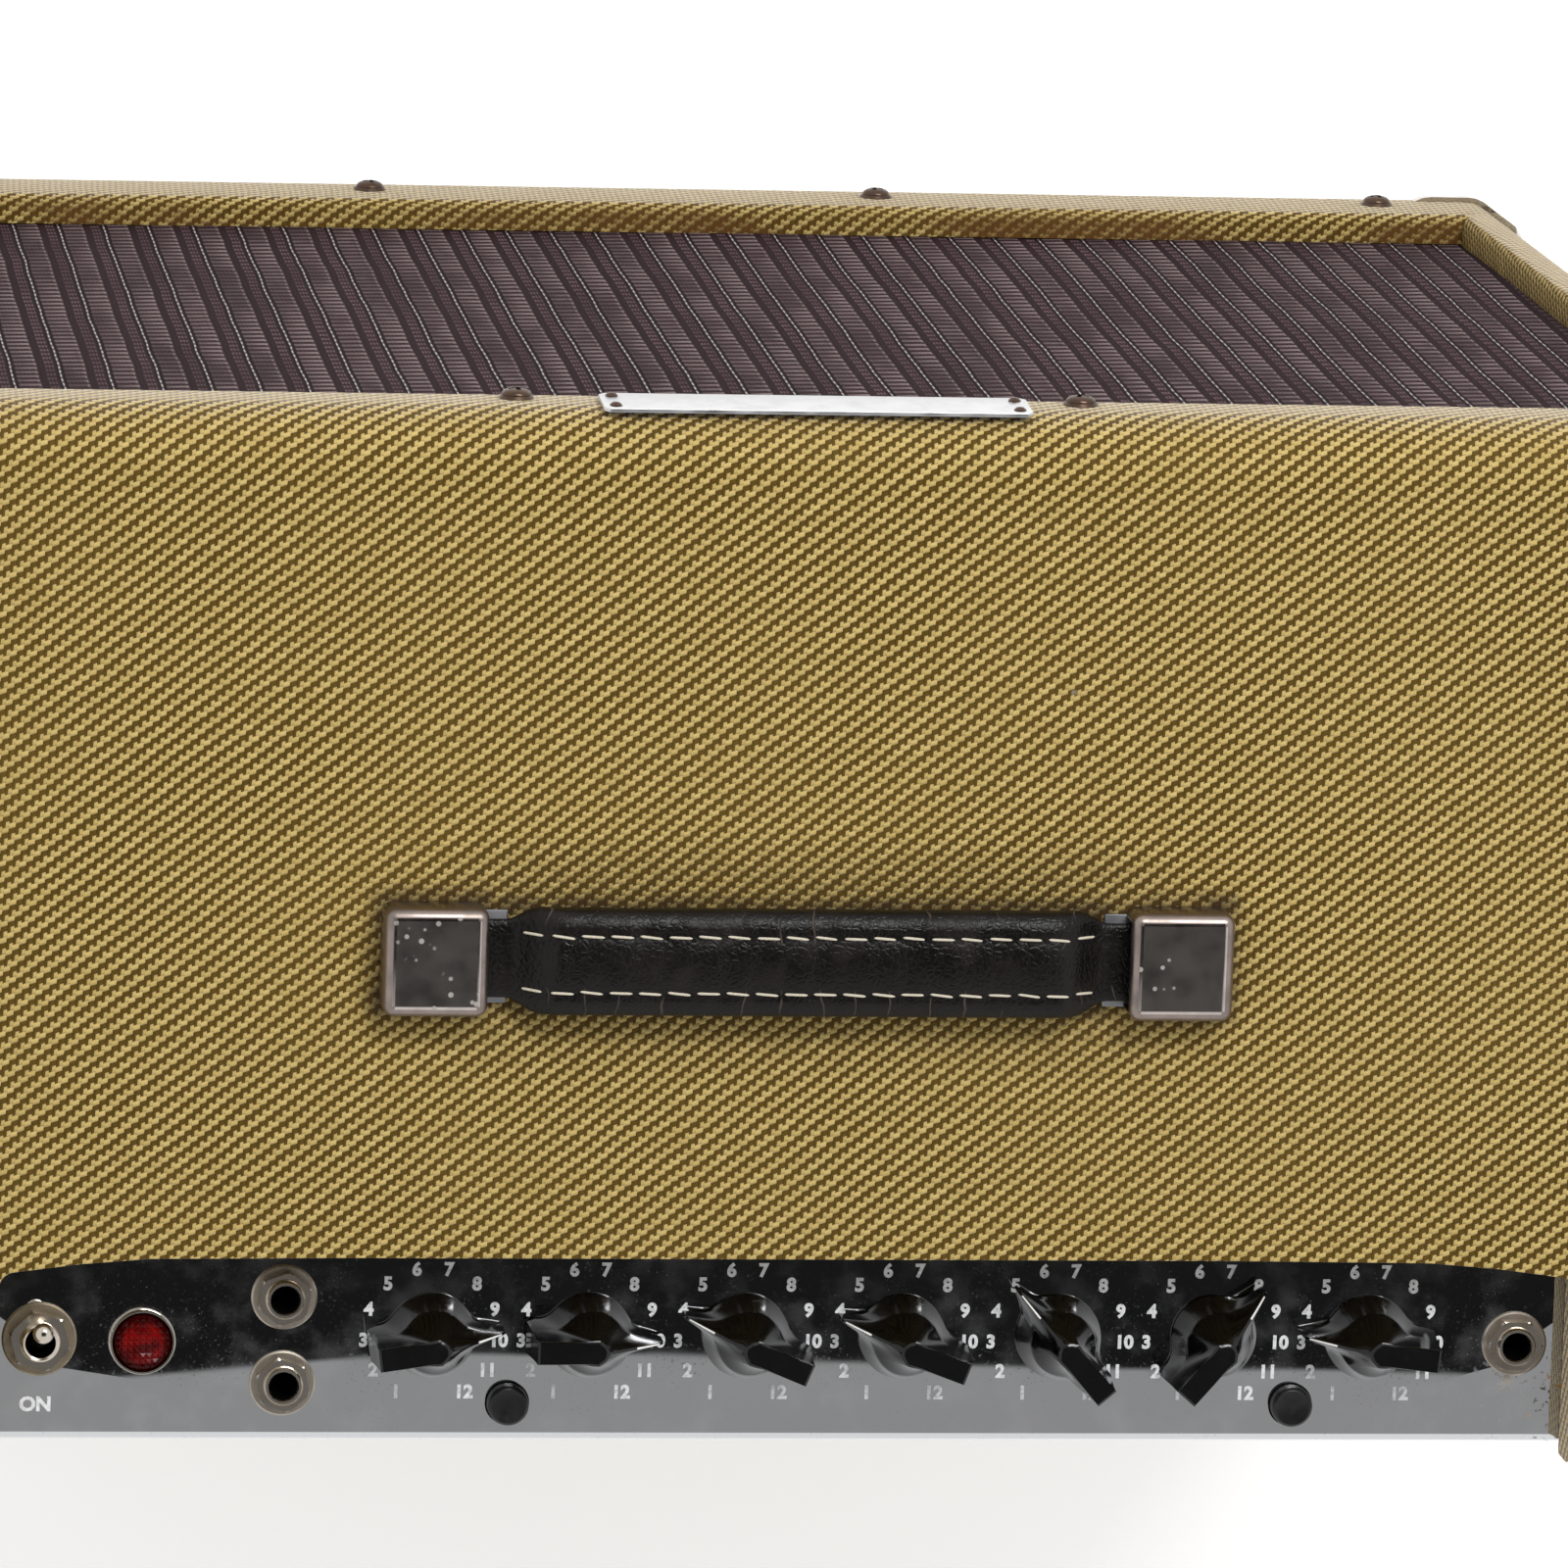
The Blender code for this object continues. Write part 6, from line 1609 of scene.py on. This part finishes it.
def makeCaps():
    wall = caps["wall"]
    for side, sign in sides:
        name = f"handle_cap_{side}"
        low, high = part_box(name)
        near, far = sorted((abs(low[0]), abs(high[0])))
        top = topZ + caps["rise"]
        bm = bmesh.new()
        roundBox(bm, (low[0], low[1], topZ - 0.006), (high[0], high[1], top), caps["round"], 6)
        trim = bmesh.new()
        roundBox(trim, (low[0] - 0.01, low[1] - 0.01, topZ - 0.02),
                 (high[0] + 0.01, high[1] + 0.01, topZ + 0.0002), 0.0, 1)
        bm = carve(bm, trim)
        pocket = bmesh.new()
        ends = sorted((sign * (near - caps["mouth"]), sign * (far - wall)))
        roundBox(pocket, (ends[0], low[1] + wall, topZ - 0.01), (ends[1], high[1] - wall, top - wall), 0.0, 1)
        bm = carve(bm, pocket)
        # faces that don't face straight up take a darker copy of the nickel: painted shade on the caps' sides
        # and bevels
        for face in bm.faces:
            face.material_index = 0 if face.normal.z > 0.985 else 1
        settle(bm, "nickel_" + name, ["cap", "capShadedEdge"], nodes=(name,), sharp=40.0,
               flatArea=0.0002)
        # the base plate's edge shows beside the strap
        bm = bmesh.new()
        ends = sorted((sign * (near - caps["baseOut"]), sign * (near + 0.004)))
        roundBox(bm, (ends[0], low[1] + caps["baseIn"], topZ + 0.0001),
                 (ends[1], high[1] - caps["baseIn"], topZ + caps["baseTop"]), caps["baseRound"], 2)
        settle(bm, f"cap_base_{side}", ["electrode"])


makeGrip()
makeCaps()
print("handle made")


# loudspeaker: paper cone with a rolled edge, dust cap and coil tube, and its magnet
speaker = {"neck": 0.022, "coneDeep": 0.0660, "coneRise": 0.058, "edge": 0.012, "paper": 0.0009,
           "coil": 0.0218, "coilTop": 0.0880, "coilFoot": 0.0665, "cap": 0.026, "capFoot": 0.0625,
           "capRise": 0.0120, "rollFoot": 0.0075, "rollRise": 0.0030, "gapRadius": 0.0232, "gapDeep": 0.015}


def makeSpeaker():
    low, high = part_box("speaker_cone")
    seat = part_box("speaker_frame")[0][1]
    place = Matrix.Translation(((low[0] + high[0]) / 2, seat, (low[2] + high[2]) / 2)) @ turnTo((0, 1, 0))
    rim = (high[0] - low[0]) / 2
    neck, edge = speaker["neck"], speaker["edge"]
    outer = []
    for k in range(25):
        share = k / 24
        depth = speaker["coneDeep"] - speaker["coneRise"] * (share ** 0.92)
        outer.append((neck + (rim - edge - neck) * share, depth))
    for k in range(1, 11):
        roll = speaker["rollRise"] * abs(math.sin(math.pi * k / 5))
        outer.append((rim - edge + edge * k / 10, speaker["rollFoot"] - roll))
    inner = [(radius, depth - speaker["paper"]) for radius, depth in reversed(outer)]
    cap = [(speaker["cap"] * math.cos(a), speaker["capFoot"] - speaker["capRise"] * math.sin(a))
           for a in quarter(8)]
    cap[-1] = (0.0, cap[-1][1])
    coil, top = speaker["coil"], speaker["coilTop"]
    bm = bmesh.new()
    spin(bm, [(0.0, top), (coil, top), (coil, speaker["coilFoot"])] + outer + inner + cap, 96, place)
    settle(bm, "paper_cone", ["paper"], body="speaker_cone", nodes=("speaker_cone",))
    low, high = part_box("speaker_magnet")
    start, end, wide = low[1] - seat, high[1] - seat, (high[0] - low[0]) / 2
    gap, deep = speaker["gapRadius"], speaker["gapDeep"]
    bm = bmesh.new()
    spin(bm, [(0.0, end), (wide * 0.72, end), (wide * 0.74, end - 0.001), (wide * 0.74, end - 0.006),
              (wide - 0.003, end - 0.006), (wide, end - 0.009), (wide, start + 0.009),
              (wide - 0.003, start + 0.006), (wide * 0.8, start + 0.006), (wide * 0.8, start), (gap, start),
              (gap, start + deep), (0.0, start + deep)], 72, place)
    settle(bm, "ferrite_magnet", ["iron"], nodes=("speaker_magnet",))


# valves: glass envelopes with plates between two discs
valve = {"shoulder": 0.0125, "dome": 0.0080, "plateFoot": 0.018, "plateTop": 0.010, "plateRound": 0.0015,
         "lowDisc": 0.0165, "highDisc": 0.0090, "disc": 0.0004}


def makeValves():
    names = [f"preamp_tube_{k}" for k in (1, 2, 3)] + [f"power_tube_{k}" for k in (1, 2, 3, 4)]
    disc = valve["disc"]
    for name in names:
        low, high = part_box(name)
        wide = (high[0] - low[0]) / 2
        place = Matrix.Translation(((low[0] + high[0]) / 2, (low[1] + high[1]) / 2, 0))
        top, end = high[2], low[2]
        bm = bmesh.new()
        shoulder = [(wide * math.cos(a), end + valve["shoulder"] - valve["dome"] * math.sin(a))
                    for a in [1.25 * k / 6 for k in range(7)]]
        spin(bm, [(0.0, top), (wide - 0.0006, top), (wide, top - 0.0012)] + shoulder
             + [(0.0016, end + 0.0030), (0.0010, end + 0.0008), (0.0, end)], 36, place)
        settle(bm, "glass_" + name, ["glass"], nodes=(name,))
        bm = bmesh.new()
        roundBox(bm, (-wide * 0.52, -wide * 0.34, end + valve["plateFoot"]),
                 (wide * 0.52, wide * 0.34, top - valve["plateTop"]), valve["plateRound"], 3, 0, place)
        reach = wide * 0.82
        for z in (end + valve["lowDisc"], top - valve["highDisc"]):
            spin(bm, [(0.0, z + disc), (reach, z + disc), (reach, z - disc), (0.0, z - disc)], 24, place)
        settle(bm, "plates_" + name, ["electrode"])


# mains inlet: three pins in its socket and a screw at each end
inlet = {"pins": ((-0.007, -0.0015), (0.0, 0.0022), (0.007, -0.0015)), "pinHalf": (0.001, 0.002),
         "pinDeep": 0.0158, "pinTop": 0.0035, "pinRound": 0.0004, "screwX": 0.0195, "screwSize": 0.7}


def makeInletPins():
    low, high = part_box("mains_inlet")
    x, z = (low[0] + high[0]) / 2, (low[2] + high[2]) / 2
    face = high[1]
    halfX, halfZ = inlet["pinHalf"]
    bm = bmesh.new()
    for dx, dz in inlet["pins"]:
        roundBox(bm, (x + dx - halfX, face - inlet["pinDeep"], z + dz - halfZ),
                 (x + dx + halfX, face - inlet["pinTop"], z + dz + halfZ), inlet["pinRound"], 2)
    settle(bm, "inlet_pins", ["nickel"])
    places = [((x + sx * inlet["screwX"], face, z), (0, 1, 0), 0.4) for sx in (-1, 1)]
    scatter("inlet_screws", screwSource(), places, "nickel", size=inlet["screwSize"])


# finishes on the CAD's own pieces inside, seen through the open back
insideFinish = {"baffle_board": "ply", "chassis": "steel", "control_board": "board", "tube_board": "board",
                "power_transformer": "iron", "output_transformer": "iron", "speaker_frame": "basket",
                "reverb_tank": "steel", "mains_inlet": "button"}


def dressNode(name, finish):
    node = frame["nodes"][name]
    node.data.materials.clear()
    node.data.materials.append(looks[finish])


makeSpeaker()
makeValves()
makeInletPins()
for nodeName, finishName in insideFinish.items():
    dressNode(nodeName, finishName)
print("inside made")


# studio: pale floor, soft dome with a dark flag and a grey ceiling overhead, one broad lamp
studio = {"worldStrength": 1.08, "flagLight": 0.012, "flagEdge": 0.2365, "flagNear": 0.55, "flagLeft": 0.60,
          "flagRight": 0.55, "ceilingEnd": 0.50, "ceilingLight": 0.37, "lampPower": 60.0, "lampWide": 1.7,
          "lampTall": 0.5, "lampPlace": (-0.75, -1.9, 2.6)}


def makeFloor():
    bm = bmesh.new()
    bmesh.ops.create_grid(bm, x_segments=1, y_segments=1, size=30.0)
    floor = settle(bm, "floor", [], body=None, recalc=False)
    look = Look("floor_white", Base_Color=(0.95, 0.95, 0.95), Roughness=0.9, Specular_IOR_Level=0.1,
                Emission_Color=(1.0, 1.0, 1.0), Emission_Strength=0.25)
    floor.data.materials.append(look.material)


def makeWorld():
    world = bpy.data.worlds.new("studio")
    bpy.context.scene.world = world
    world.use_nodes = True
    tree = world.node_tree
    place = tree.nodes.new("ShaderNodeTexCoord")
    split = tree.nodes.new("ShaderNodeSeparateXYZ")
    tree.links.new(place.outputs["Generated"], split.inputs[0])

    def sums(operation, first, second, clamp=False):
        node = tree.nodes.new("ShaderNodeMath")
        node.operation = operation
        node.use_clamp = clamp
        for k, value in enumerate((first, second)):
            if hasattr(value, "is_output"):
                tree.links.new(value, node.inputs[k])
            else:
                node.inputs[k].default_value = value
        return node.outputs[0]

    def soft(distance, steepness):
        return sums("MULTIPLY", distance, steepness, True)

    def both(first, second):
        return sums("MULTIPLY", first, second)

    def past(first, second):
        return sums("MAXIMUM", sums("SUBTRACT", first, second), 0.0)
    x, y, z = split.outputs
    rise = sums("MAXIMUM", z, 0.001)
    across = sums("DIVIDE", x, rise)
    along = sums("DIVIDE", y, rise)
    # the chrome shows the flag's straight edge, which turns up towards both ends
    turnUp = sums("ADD", both(past(across, -0.105), 0.09), both(past(-0.125, across), 0.02))
    edge = soft(sums("SUBTRACT", sums("ADD", turnUp, studio["flagEdge"]), along), 900.0)
    near = soft(sums("ADD", along, studio["flagNear"]), 6.0)
    left = soft(sums("ADD", across, studio["flagLeft"]), 6.0)
    right = soft(sums("SUBTRACT", studio["flagRight"], across), 6.0)
    overhead = both(both(both(left, right), near), sums("GREATER_THAN", z, 0.0))
    flag = both(both(edge, overhead), 1.0 - studio["flagLight"])
    # beyond the flag's edge the ceiling is a middle grey
    ceiling = both(soft(sums("SUBTRACT", studio["ceilingEnd"], along), 8.0), overhead)
    dim = sums("MAXIMUM", flag, both(ceiling, 1.0 - studio["ceilingLight"]))
    strength = both(sums("SUBTRACT", 1.0, dim), studio["worldStrength"])
    tree.links.new(strength, tree.nodes["Background"].inputs["Strength"])
    tree.nodes["Background"].inputs["Color"].default_value = (1.0, 1.0, 1.0, 1.0)


def makeLamp():
    lamp = bpy.data.lights.new("broad_lamp", "AREA")
    lamp.shape = "RECTANGLE"
    lamp.size = studio["lampWide"]
    lamp.size_y = studio["lampTall"]
    lamp.energy = studio["lampPower"]
    holder = bpy.data.objects.new("broad_lamp", lamp)
    bpy.context.scene.collection.objects.link(holder)
    holder.location = studio["lampPlace"]
    holder.rotation_euler = (Vector((0, 0, topZ)) - holder.location).to_track_quat("-Z", "Y").to_euler()


# camera solved from the photograph's straight edges, in pixels and metres
view = {"pixels": 1600, "focal": 12696.4, "sensor": 36.0, "right": (-0.99097, -0.03316, 0.12991),
        "down": (-0.00862, 0.98269, 0.18508), "ahead": (-0.13380, 0.18230, -0.97410),
        "x": 0.4030, "y": -0.5792, "aboveTop": 2.886}


def makeCamera():
    lens = bpy.data.cameras.new("camera")
    lens.sensor_width = view["sensor"]
    lens.lens = view["focal"] / view["pixels"] * view["sensor"]
    lens.clip_end = 200.0
    camera = bpy.data.objects.new("camera", lens)
    bpy.context.scene.collection.objects.link(camera)
    axes = Vector(view["right"]), -Vector(view["down"]), -Vector(view["ahead"])
    turn = Matrix(axes).transposed().to_4x4()
    camera.matrix_world = Matrix.Translation((view["x"], view["y"], topZ + view["aboveTop"])) @ turn
    bpy.context.scene.camera = camera
    bpy.context.scene.view_settings.view_transform = "Standard"


makeFloor()
makeWorld()
makeLamp()
makeCamera()
print("studio and camera set")
